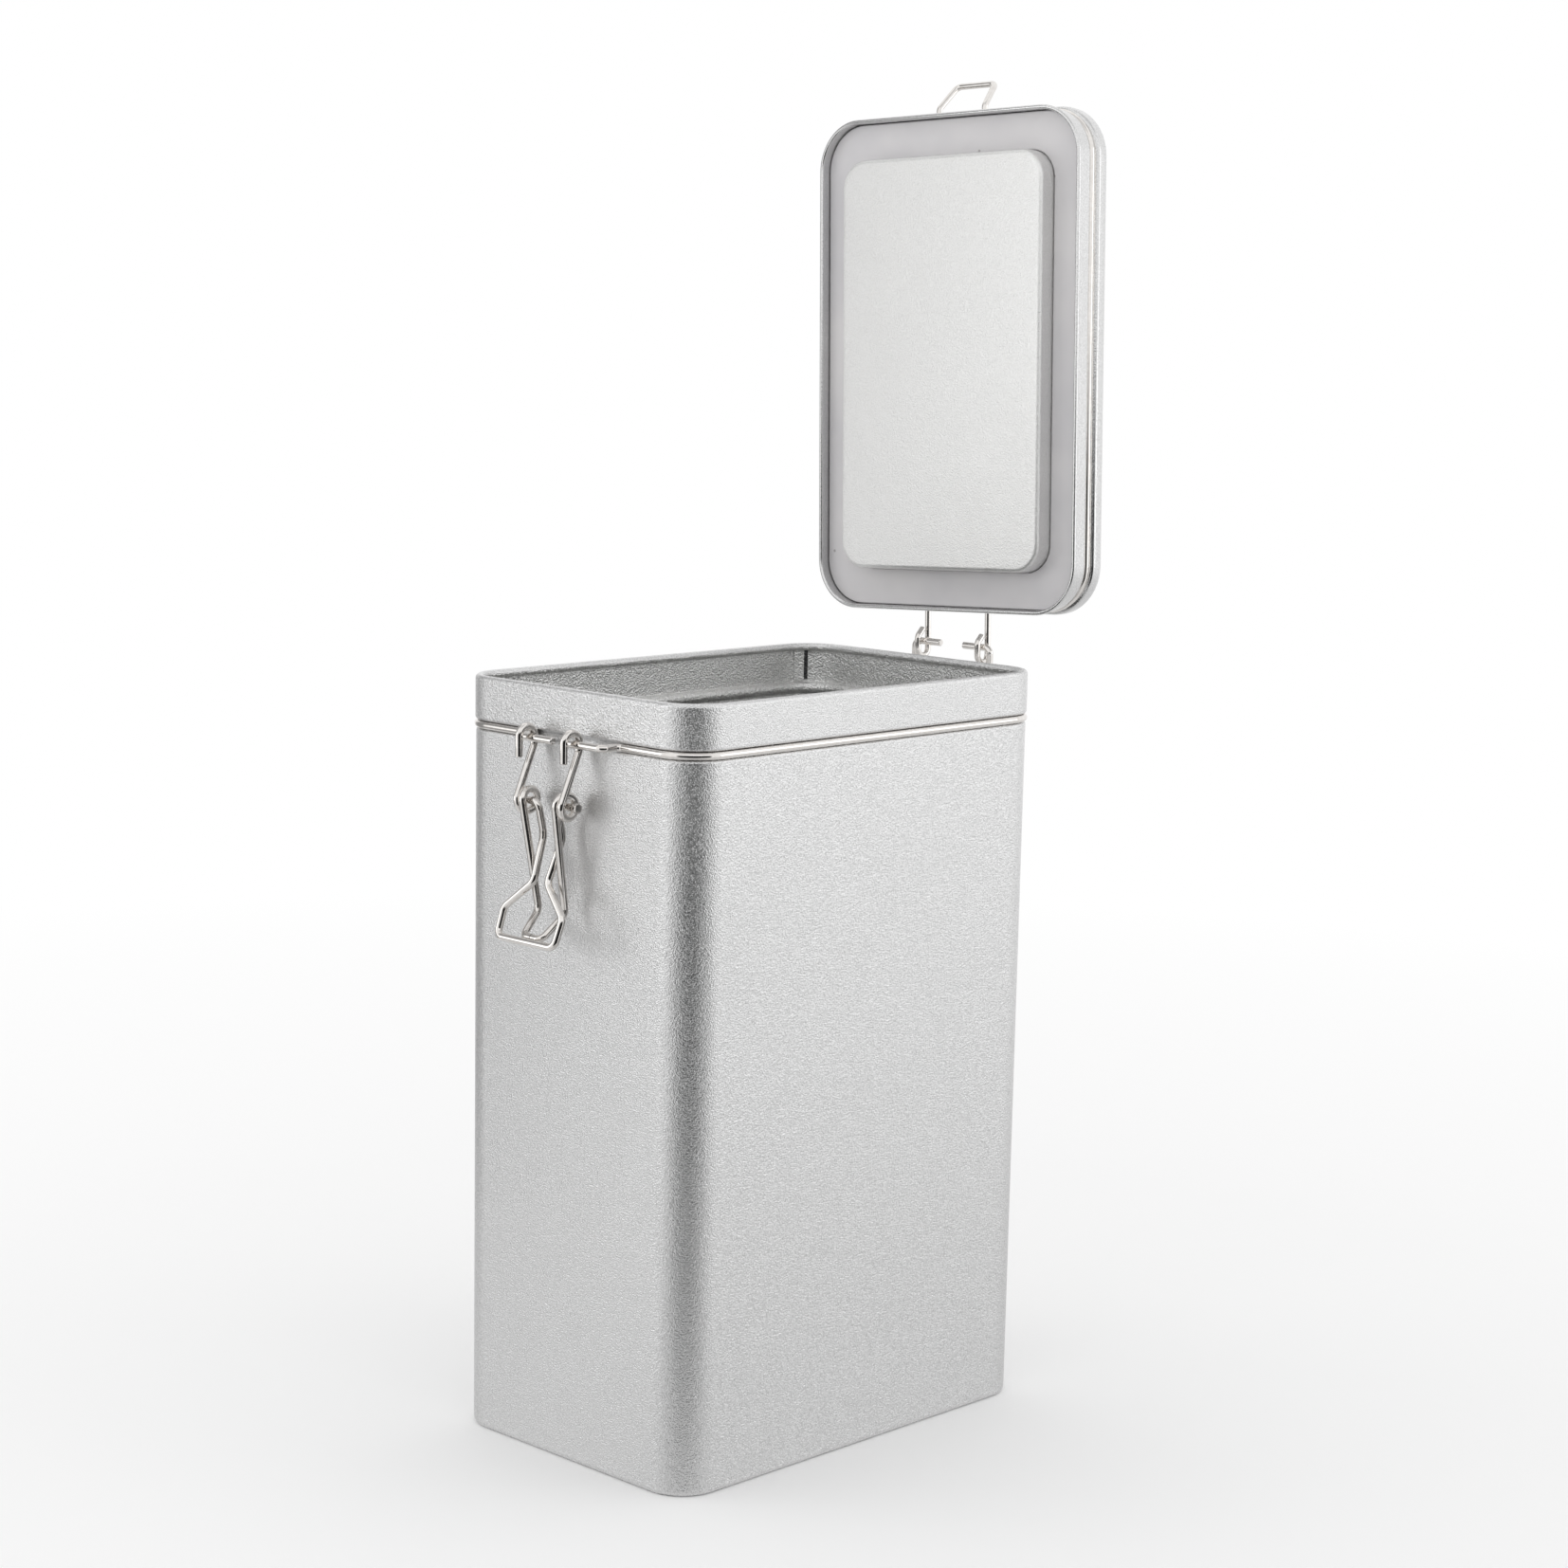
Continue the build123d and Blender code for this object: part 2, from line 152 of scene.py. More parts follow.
def of_kind(items: list, kind: type) -> list:
    """Picks the elements of one kind out of a list."""
    return [item for item in items if isinstance(item, kind)]


@dataclass
class Front:
    """The open end of a growing mesh: one vertex, or a chain of edges."""

    mesh: Mesh
    geom: list[Vert | Edge]

    def draw(self, reach: Vector, steps: int = 1) -> None:
        """Draws the end straight on.

        Args:
            reach: how far and which way it moves.
            steps: number of even steps.
        """
        kind = type(self.geom[0])
        for _ in range(steps):
            if kind is Vert:
                grown = bmesh.ops.extrude_vert_indiv(self.mesh, verts=self.geom)["verts"]
            else:
                grown = bmesh.ops.extrude_edge_only(self.mesh, edges=self.geom)["geom"]
            bmesh.ops.translate(self.mesh, verts=of_kind(grown, Vert), vec=reach / steps)
            self.geom = of_kind(grown, kind)

    def swing(
        self, centre: Vector, axis: Vector, turn: float, steps: int, advance: Vector | None = None
    ) -> None:
        """Draws the end on round an axis.

        Args:
            centre: a point of the axis.
            axis: direction of the axis.
            turn: angle in radians.
            steps: number of even steps.
            advance: how far the whole turn moves along the axis, for a coil.
        """
        kind = type(self.geom[0])
        turned = bmesh.ops.spin(
            self.mesh,
            geom=self.geom,
            cent=centre,
            axis=axis,
            angle=turn,
            steps=steps,
            dvec=(advance or Vector()) / steps,
        )
        self.geom = of_kind(turned["geom_last"], kind)

    def swell(self, factor: float) -> None:
        """Scales an end of edges about its own middle.

        Args:
            factor: new size over old size.
        """
        verts = list({vert for edge in self.geom for vert in edge.verts})
        middle = sum((vert.co for vert in verts), Vector()) / len(verts)
        bmesh.ops.scale(self.mesh, verts=verts, vec=(factor,) * 3, space=Matrix.Translation(-middle))


@dataclass
class SheetShop:
    """Folds a sheet's section and rolls it round an outline."""

    arc_step: float = 15.0
    run_step: float = 9.0
    corner_steps: int = 18
    side_step: float = 9.0
    weld_reach: float = 0.001

    def press(
        self,
        outline: Outline,
        start: tuple[float, float],
        heading: float,
        moves: Moves,
        thickness: float,
        plate: bool = False,
    ) -> Mesh:
        """Makes a piece of folded sheet.

        Args:
            outline: the outline that the section is rolled round.
            start: outward and upward place of the sheet's middle line, from the outline.
            heading: first direction in degrees, 0 outwards and 90 up.
            moves: straights and turns of the middle line.
            thickness: thickness of the sheet.
            plate: closes the far end of the section with a flat plate.

        Returns:
            The finished mesh.
        """
        mesh = bmesh.new()
        origin = Vector((outline.width / 2 + start[0], outline.centre_y, outline.height + start[1]))
        skins = [self.fold(mesh, origin, heading, moves, thickness / 2 * side) for side in (1, -1)]
        first, last = zip(*skins)
        mesh.edges.new(first)
        if not plate:
            mesh.edges.new(last)
        self.walk(Front(mesh, mesh.edges[:]), outline, self.side_step)
        if plate:
            bmesh.ops.holes_fill(mesh, edges=[edge for edge in mesh.edges if edge.is_boundary], sides=0)
        return mesh

    def fold(
        self, mesh: Mesh, origin: Vector, heading: float, moves: Moves, offset: float
    ) -> tuple[Vert, Vert]:
        """Draws one skin of a folded sheet's section.

        Args:
            mesh: the mesh that takes the skin's edges.
            origin: where the sheet's middle line starts.
            heading: first direction in degrees.
            moves: straights and turns of the middle line.
            offset: how far the skin lies to the left of the middle line.

        Returns:
            The skin's first and last vertices.
        """
        angle = math.radians(heading)
        left = Vector((-math.sin(angle), 0, math.cos(angle)))
        first = mesh.verts.new(origin + left * offset)
        end = Front(mesh, [first])
        for move in moves:
            if isinstance(move, Run):
                ahead = Vector((math.cos(angle), 0, math.sin(angle))) * move.length
                end.draw(ahead, max(1, round(move.length / self.run_step)))
            else:
                left = Vector((-math.sin(angle), 0, math.cos(angle)))
                centre = end.geom[0].co + left * (math.copysign(move.radius, move.degrees) - offset)
                steps = max(2, math.ceil(abs(move.degrees) / self.arc_step))
                end.swing(centre, Vector((0, -1, 0)), math.radians(move.degrees), steps)
                angle += math.radians(move.degrees)
        return first, end.geom[0]

    def walk(self, end: Front, outline: Outline, side_step: float) -> None:
        """Carries one vertex or a section once round the outline and closes the ring.

        Args:
            end: the vertex or the section's edges, on the outline's +X side.
            outline: the rounded rectangle to follow.
            side_step: about the length of one step along a straight side.
        """
        long_x = outline.width - 2 * outline.corner
        long_y = outline.depth - 2 * outline.corner
        heading = Vector((0, 1, 0))
        sides = (long_y / 2, long_x, long_y, long_x, long_y / 2)
        for length, corner in zip(sides, ((1, 1), (-1, 1), (-1, -1), (1, -1), None)):
            end.draw(heading * length, max(1, round(length / side_step)))
            if corner:
                centre = Vector((corner[0] * long_x / 2, corner[1] * long_y / 2 + outline.centre_y, 0))
                end.swing(centre, UP, math.pi / 2, self.corner_steps)
                heading = Vector((-heading.y, heading.x, 0))
        bmesh.ops.remove_doubles(end.mesh, verts=end.mesh.verts[:], dist=self.weld_reach)

    def loop(self, mesh: Mesh, outline: Outline) -> list[Edge]:
        """Draws the outline itself as a closed loop.

        Args:
            mesh: the mesh that takes the loop.
            outline: the rounded rectangle to draw.

        Returns:
            The loop's edges.
        """
        before = set(mesh.edges)
        start = mesh.verts.new((outline.width / 2, outline.centre_y, outline.height))
        self.walk(Front(mesh, [start]), outline, math.inf)
        return [edge for edge in mesh.edges if edge not in before]


@dataclass
class WireShop:
    """Bends round wire along stations, as a wire former does."""

    ring: int = 18
    bend_step: float = 9.0
    end_chamfer: float = 0.18

    def whole(self, stations: Stations, diameter: float) -> Mesh:
        """Makes a wire with both ends closed.

        Args:
            stations: the wire's corner points and bend radii.
            diameter: the wire's diameter.

        Returns:
            The finished mesh.
        """
        end = self.start(stations[0][0], (stations[1][0] - stations[0][0]).normalized(), diameter)
        self.follow(end, stations)
        end.draw((stations[-1][0] - stations[-2][0]).normalized() * self.end_chamfer)
        end.swell((diameter - 2 * self.end_chamfer) / diameter)
        bmesh.ops.holes_fill(end.mesh, edges=end.geom, sides=0)
        return end.mesh

    def start(self, place: Vector, ahead: Vector, diameter: float) -> Front:
        """Makes a wire's first end with a small chamfer, in a mesh of its own.

        Args:
            place: middle of the end face.
            ahead: direction in which the wire leaves the face.
            diameter: the wire's diameter.

        Returns:
            The ring that the wire grows from.
        """
        mesh = bmesh.new()
        facing = Matrix.Translation(place) @ ahead.to_track_quat("Z", "Y").to_matrix().to_4x4()
        radius = diameter / 2 - self.end_chamfer
        made = bmesh.ops.create_circle(mesh, cap_ends=True, segments=self.ring, radius=radius, matrix=facing)
        end = Front(mesh, list({edge for vert in made["verts"] for edge in vert.link_edges}))
        end.draw(ahead * self.end_chamfer)
        end.swell(diameter / (diameter - 2 * self.end_chamfer))
        return end

    def follow(self, end: Front, stations: Stations) -> None:
        """Bends a wire on from its open end.

        Args:
            end: the wire's open end.
            stations: corner points and bend radii, which start at that end.
        """
        here = stations[0][0]
        for (behind, _), (point, radius), (beyond, _) in zip(stations, stations[1:], stations[2:]):
            ahead = (point - behind).normalized()
            after = (beyond - point).normalized()
            turn = ahead.angle(after)
            trim = radius * math.tan(turn / 2)
            entry = point - ahead * trim
            end.draw(entry - here)
            axis = ahead.cross(after).normalized()
            end.swing(entry + axis.cross(ahead) * radius, axis, turn, self.steps(turn))
            here = point + after * trim
        end.draw(stations[-1][0] - here)

    def steps(self, turn: float) -> int:
        """Number of steps of a bend in radians."""
        return max(2, math.ceil(math.degrees(abs(turn)) / self.bend_step))


def pressed_groove(wire: float, sink: float, sheet: float, rise: float) -> tuple[Moves, float, float]:
    """Works out the turns of a groove for a wire, pressed to the left of the heading.

    Args:
        wire: the wire's diameter.
        sink: how far the wire's middle lies inside the outline.
        sheet: thickness of the sheet.
        rise: how far the sheet goes on beyond its first line.

    Returns:
        The moves, and the heights that they take below and above the groove's middle.
    """
    seat = wire / 2 + SEAT_GAP + sheet / 2
    depth = sink + wire / 2 + SEAT_GAP
    angle = math.radians(GROOVE_SLOPE)
    straight = (depth - (GROOVE_LIP + seat) * (1 - math.cos(angle))) / math.sin(angle)
    extra = rise / math.sin(angle)
    lip = Turn(GROOVE_LIP, GROOVE_SLOPE)
    moves = [lip, Run(straight), Turn(seat, -2 * GROOVE_SLOPE), Run(straight + extra), lip]
    below = (GROOVE_LIP + seat) * math.sin(angle) + straight * math.cos(angle)
    return moves, below, below + extra * math.cos(angle)


def to_object(mesh: Mesh, name: str, *materials: Material) -> bpy.types.Object:
    """Turns a mesh into an object of the scene.

    Args:
        mesh: the mesh, which is freed here.
        name: the object's name.
        materials: its materials.

    Returns:
        The object.
    """
    data = bpy.data.meshes.new(name)
    mesh.to_mesh(data)
    mesh.free()
    for material in materials:
        data.materials.append(material)
    made = bpy.data.objects.new(name, data)
    bpy.context.scene.collection.objects.link(made)
    return made


def finish_piece(
    mesh: Mesh, name: str, body: Body, slot: Slot, *materials: Material, stands_for: tuple[str, ...] = ()
) -> None:
    """Turns a finished mesh in millimetres into a piece of the canister.

    Args:
        mesh: the mesh, which is freed here.
        name: the piece's name.
        body: the body that it rides on.
        slot: the record's material slot; not used.
        materials: its material, and a second one for faces that are marked with index 1.
        stands_for: the frame's nodes that it replaces.
    """
    bmesh.ops.scale(mesh, verts=mesh.verts[:], vec=(MM, MM, MM))
    bmesh.ops.recalc_face_normals(mesh, faces=mesh.faces[:])
    for face in mesh.faces:
        face.smooth = True
    piece = to_object(mesh, name, *materials)
    piece.data.set_sharp_from_angle(angle=SHARP_FROM)
    weighted = piece.modifiers.new("even_shading", "WEIGHTED_NORMAL")
    weighted.keep_sharp = True
    weighted.weight = 80
    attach(piece, body.value)
    if stands_for:
        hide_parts(*stands_for)
    LOG.info("%s: %d faces, rides on %s", name, len(piece.data.polygons), body.value)


# Materials


class Graph:
    """Adds nodes to a node tree and joins them."""

    def __init__(self, tree: Tree) -> None:
        """Keeps the tree that the nodes go into."""
        self.tree = tree

    def join(self, kind: str, inputs: dict[str | int, object], **settings: object) -> bpy.types.Node:
        """Adds a node and joins it up.

        Args:
            kind: the node's type name.
            inputs: plain values or source sockets for its inputs, by name or number.
            settings: the node's own settings.

        Returns:
            The new node.
        """
        node = self.tree.nodes.new(kind)
        for name, value in settings.items():
            setattr(node, name, value)
        for name, value in inputs.items():
            self.put(node, name, value)
        return node

    def add(self, kind: str, **sockets: object) -> bpy.types.Node:
        """Adds a node, with its inputs' names given with underscores for spaces."""
        return self.join(kind, {name.replace("_", " "): value for name, value in sockets.items()})

    def put(self, node: bpy.types.Node, name: str | int, value: object) -> None:
        """Sets one input, or links it when the value is a socket.

        Args:
            node: the node.
            name: the input's name or number.
            value: a plain value or an output socket.
        """
        if isinstance(value, bpy.types.NodeSocket):
            self.tree.links.new(value, node.inputs[name])
        else:
            node.inputs[name].default_value = value

    def place(self) -> object:
        """Adds the object's coordinates and returns their socket."""
        return self.add("ShaderNodeTexCoord").outputs["Object"]

    def sum(self, operation: str, first: object, second: object, clamp: bool = False) -> object:
        """Adds a maths node, clamped from 0 to 1 or not, and returns the result's socket."""
        node = self.join("ShaderNodeMath", {0: first, 1: second}, operation=operation, use_clamp=clamp)
        return node.outputs[0]

    def noise(self, place: object, scale: object, detail: float = 2.0, roughness: float = 0.55) -> object:
        """Adds a noise texture and returns its value socket."""
        node = self.add("ShaderNodeTexNoise", Vector=place, Scale=scale, Detail=detail, Roughness=roughness)
        return node.outputs["Fac"]

    def spread(
        self, value: object, low: float, high: float, to_low: float = 0.0, to_high: float = 1.0
    ) -> object:
        """Maps a value from one range to another, clamps it and returns its socket."""
        ends = {"From_Min": low, "From_Max": high, "To_Min": to_low, "To_Max": to_high}
        return self.add("ShaderNodeMapRange", Value=value, **ends).outputs["Result"]

    def blend(self, share: object, first: object, second: object) -> object:
        """Mixes a share of the second colour into the first and returns the colour's socket."""
        return self.join("ShaderNodeMix", {0: share, 6: first, 7: second}, data_type="RGBA").outputs[2]

    def mix_shaders(self, share: object, first: bpy.types.Node, second: bpy.types.Node) -> bpy.types.Node:
        """Mixes a share of the second shader into the first and returns the mixing node."""
        return self.join("ShaderNodeMixShader", {0: share, 1: first.outputs[0], 2: second.outputs[0]})

    def seen(self) -> object:
        """Adds the light path and returns 1 where a thing is seen or mirrored and 0 where it only lights."""
        path = self.add("ShaderNodeLightPath").outputs
        seen = self.sum("MAXIMUM", path["Is Camera Ray"], path["Is Glossy Ray"])
        return self.sum("MAXIMUM", seen, path["Is Transmission Ray"])

    def close(self, shader: bpy.types.Node) -> None:
        """Joins the last shader to the material's output."""
        self.add("ShaderNodeOutputMaterial", Surface=shader.outputs[0])


def new_material(name: str) -> tuple[Material, Graph]:
    """Starts a material.

    Args:
        name: the material's name.

    Returns:
        The material and its empty graph.
    """
    material = bpy.data.materials.new(name)
    material.use_nodes = True
    material.node_tree.nodes.clear()
    return material, Graph(material.node_tree)


def new_group(name: str, inputs: tuple[str, ...], outputs: tuple[str, ...]) -> tuple[Graph, object, object]:
    """Starts a shader node group.

    Args:
        name: the group's name.
        inputs: its number inputs.
        outputs: its outputs, which are numbers apart from one named Normal.

    Returns:
        The group's graph, its input node and its output node.
    """
    tree = bpy.data.node_groups.new(name, "ShaderNodeTree")
    for title in inputs:
        tree.interface.new_socket(title, in_out="INPUT", socket_type="NodeSocketFloat")
    for title in outputs:
        kind = "NodeSocketVector" if title == "Normal" else "NodeSocketFloat"
        tree.interface.new_socket(title, in_out="OUTPUT", socket_type=kind)
    return Graph(tree), tree.nodes.new("NodeGroupInput"), tree.nodes.new("NodeGroupOutput")


def metal_skin_group() -> Tree:
    """Builds the skin that every metal shares: crystal grain, slow waves and handling marks.

    Returns:
        The node group, with the grain's tone, a sheen value, a mark mask and the normal.
    """
    graph, given, result = new_group(
        "metal_skin",
        ("Grain Scale", "Grain Relief", "Wave Scale", "Wave Relief", "Marks"),
        ("Tone", "Sheen", "Mark", "Normal"),
    )
    cloud_scale, rub_scale, coarse_scale, coarse_share = 60.0, 240.0, 0.53, 0.16
    place = graph.place()
    fine = graph.noise(place, given.outputs["Grain Scale"], detail=1.0, roughness=0.5)
    coarser = graph.sum("MULTIPLY", given.outputs["Grain Scale"], coarse_scale)
    coarse = graph.sum("MULTIPLY", graph.noise(place, coarser, detail=0.0), coarse_share)
    grain = graph.sum("ADD", graph.sum("MULTIPLY", fine, 1 - coarse_share), coarse)
    wave = graph.noise(place, given.outputs["Wave Scale"], detail=1.0)
    cloud = graph.noise(place, cloud_scale, detail=3.0, roughness=0.6)
    rub = graph.noise(place, rub_scale, detail=4.0, roughness=0.7)
    mark = graph.sum("MULTIPLY", graph.spread(cloud, 0.5, 0.72), graph.spread(rub, 0.45, 0.7, 0.2, 1.0))
    relief, grain_relief = given.outputs["Wave Relief"], given.outputs["Grain Relief"]
    slow = graph.add("ShaderNodeBump", Strength=1.0, Height=wave, Distance=relief).outputs[0]
    quick = graph.add("ShaderNodeBump", Strength=1.0, Height=grain, Distance=grain_relief, Normal=slow)
    graph.put(result, "Tone", graph.spread(grain, 0.3, 0.7))
    graph.put(result, "Sheen", graph.spread(cloud, 0.3, 0.7))
    graph.put(result, "Mark", graph.sum("MULTIPLY", mark, given.outputs["Marks"], clamp=True))
    graph.put(result, "Normal", quick.outputs[0])
    return graph.tree


def soft_mask_group() -> Tree:
    """Builds the mask of a card: 1 in the middle, falling softly to 0 at its edges.

    Returns:
        The node group, which reads the card's own coordinates.
    """
    graph, given, result = new_group("soft_mask", ("Half Width", "Half Height", "Soft"), ("Mask",))
    parts = graph.add("ShaderNodeSeparateXYZ", Vector=graph.place())
    shares = []
    for axis, half in (("X", "Half Width"), ("Y", "Half Height")):
        inward = graph.sum("SUBTRACT", given.outputs[half], graph.sum("ABSOLUTE", parts.outputs[axis], 0.0))
        shares.append(graph.sum("DIVIDE", inward, given.outputs["Soft"], clamp=True))
    graph.put(result, "Mask", graph.sum("MULTIPLY", *shares))
    return graph.tree


@dataclass(frozen=True)
class MetalFinish:
    """Finish of a metal surface: its grey, how rough it is and how its grain lies."""

    name: str
    dark: tuple[float, float, float]
    light: tuple[float, float, float]
    smooth: float
    rough: float
    grain_scale: float
    grain_relief: float
    wave_scale: float
    wave_relief: float
    marks: float = 0.0
    mark_rough: float = 0.12

    def material(self, skin: Tree) -> Material:
        """Makes the finish's material.

        Args:
            skin: the shared metal skin group.

        Returns:
            The material.
        """
        material, graph = new_material(self.name)
        inputs = {
            "Grain Scale": self.grain_scale,
            "Grain Relief": self.grain_relief,
            "Wave Scale": self.wave_scale,
            "Wave Relief": self.wave_relief,
            "Marks": self.marks,
        }
        given = graph.join("ShaderNodeGroup", inputs, node_tree=skin).outputs
        base = graph.spread(given["Sheen"], 0.0, 1.0, self.smooth, self.rough)
        shader = graph.add(
            "ShaderNodeBsdfPrincipled",
            Metallic=1.0,
            Base_Color=graph.blend(given["Tone"], (*self.dark, 1.0), (*self.light, 1.0)),
            Roughness=graph.sum("ADD", base, graph.sum("MULTIPLY", given["Mark"], self.mark_rough), clamp=True),
            Normal=given["Normal"],
        )
        graph.close(shader)
        return material


@dataclass(frozen=True)
class SealFinish:
    """Finish of the soft, slightly cloudy sealing ring."""

    name: str = "cloudy_seal"
    shade: tuple[float, float, float] = (0.6, 0.59, 0.605)
    pale: tuple[float, float, float] = (0.68, 0.665, 0.67)
    speck: tuple[float, float, float] = (0.22, 0.2, 0.19)
    speck_share: float = 0.6
    cloud_scale: float = 32.0
    grain_scale: float = 420.0
    speck_scale: float = 95.0
    smooth: float = 0.38
    rough: float = 0.52

    def material(self) -> Material:
        """Makes the finish's material."""
        material, graph = new_material(self.name)
        place = graph.place()
        cloud = graph.noise(place, self.cloud_scale, detail=3.0, roughness=0.6)
        fine = graph.noise(place, self.grain_scale, detail=3.0, roughness=0.6)
        spots = graph.add("ShaderNodeTexVoronoi", Vector=place, Scale=self.speck_scale).outputs["Distance"]
        dust = graph.sum("MULTIPLY", graph.spread(spots, 0.03, 0.05, 1.0, 0.0), self.speck_share)
        colour = graph.blend(graph.spread(cloud, 0.35, 0.65), (*self.shade, 1.0), (*self.pale, 1.0))
        bump = graph.add("ShaderNodeBump", Strength=0.35, Distance=0.00006, Height=fine)
        shader = graph.add(
            "ShaderNodeBsdfPrincipled",
            Metallic=0.0,
            IOR=1.43,
            Subsurface_Weight=0.25,
            Subsurface_Radius=(0.002, 0.002, 0.002),
            Subsurface_Scale=0.6,
            Base_Color=graph.blend(dust, colour, (*self.speck, 1.0)),
            Roughness=graph.spread(fine, 0.3, 0.7, self.smooth, self.rough),
            Normal=bump.outputs[0],
        )
        graph.close(shader)
        return material


WALL_TIN = MetalFinish(
    "satin_tinplate", dark=(0.61, 0.61, 0.61), light=(0.87, 0.87, 0.87), smooth=0.28, rough=0.33,
    grain_scale=3000.0, grain_relief=0.00022, wave_scale=13.0, wave_relief=0.0002,
)  # fmt: skip
# Inside of the wall: its own coarser grain, and a paler grey than the outside that is painted light for the
# light bouncing round inside the can.
INNER_TIN_PAINTED_BOUNCE = MetalFinish(
    "grained_inner_tinplate_painted_bounce", dark=(0.72, 0.72, 0.71), light=(0.97, 0.97, 0.96), smooth=0.3, rough=0.36,
    grain_scale=2400.0, grain_relief=0.00045, wave_scale=13.0, wave_relief=0.0002,
)  # fmt: skip
LID_TIN = MetalFinish(
    "smooth_tinplate", dark=(0.64, 0.64, 0.64), light=(0.78, 0.78, 0.78), smooth=0.14, rough=0.19,
    grain_scale=3000.0, grain_relief=0.00003, wave_scale=16.0, wave_relief=0.0001, marks=0.1,
)  # fmt: skip
# Near-black strip beside the seam fold inside the rear corner: painted shade of the crevice there, not a weld.
SEAM_CREVICE_SHADE = MetalFinish(
    "painted_seam_crevice_shade", dark=(0.05, 0.05, 0.052), light=(0.12, 0.12, 0.122), smooth=0.3, rough=0.45,
    grain_scale=2400.0, grain_relief=0.0002, wave_scale=60.0, wave_relief=0.0001,
)  # fmt: skip
PANEL_TIN = MetalFinish(
    "bright_tinplate", dark=(0.84, 0.84, 0.83), light=(0.92, 0.92, 0.91), smooth=0.4, rough=0.46,
    grain_scale=3000.0, grain_relief=0.00012, wave_scale=16.0, wave_relief=0.0001,
)  # fmt: skip
NICKEL_WIRE = MetalFinish(
    "plated_wire", dark=(0.76, 0.73, 0.7), light=(0.84, 0.815, 0.79), smooth=0.03, rough=0.075,
    grain_scale=900.0, grain_relief=0.000002, wave_scale=120.0, wave_relief=0.00001, marks=0.3,
)  # fmt: skip


@dataclass
class Finishes:
    """The finished materials of the canister, made once."""

    wall: Material
    # the inside's finish, whose paler grey is painted bounce light
    inner: Material
    lid: Material
    # near-black finish that paints the shade of the seam's crevice
    weld: Material
    panel: Material
    wire: Material
    seal: Material

    @classmethod
    def make(cls) -> Finishes:
        """Makes every material."""
        skin = metal_skin_group()
        metals = (WALL_TIN, INNER_TIN_PAINTED_BOUNCE, LID_TIN, SEAM_CREVICE_SHADE, PANEL_TIN, NICKEL_WIRE)
        return cls(*(metal.material(skin) for metal in metals), SealFinish().material())


# The canister's sub-assemblies


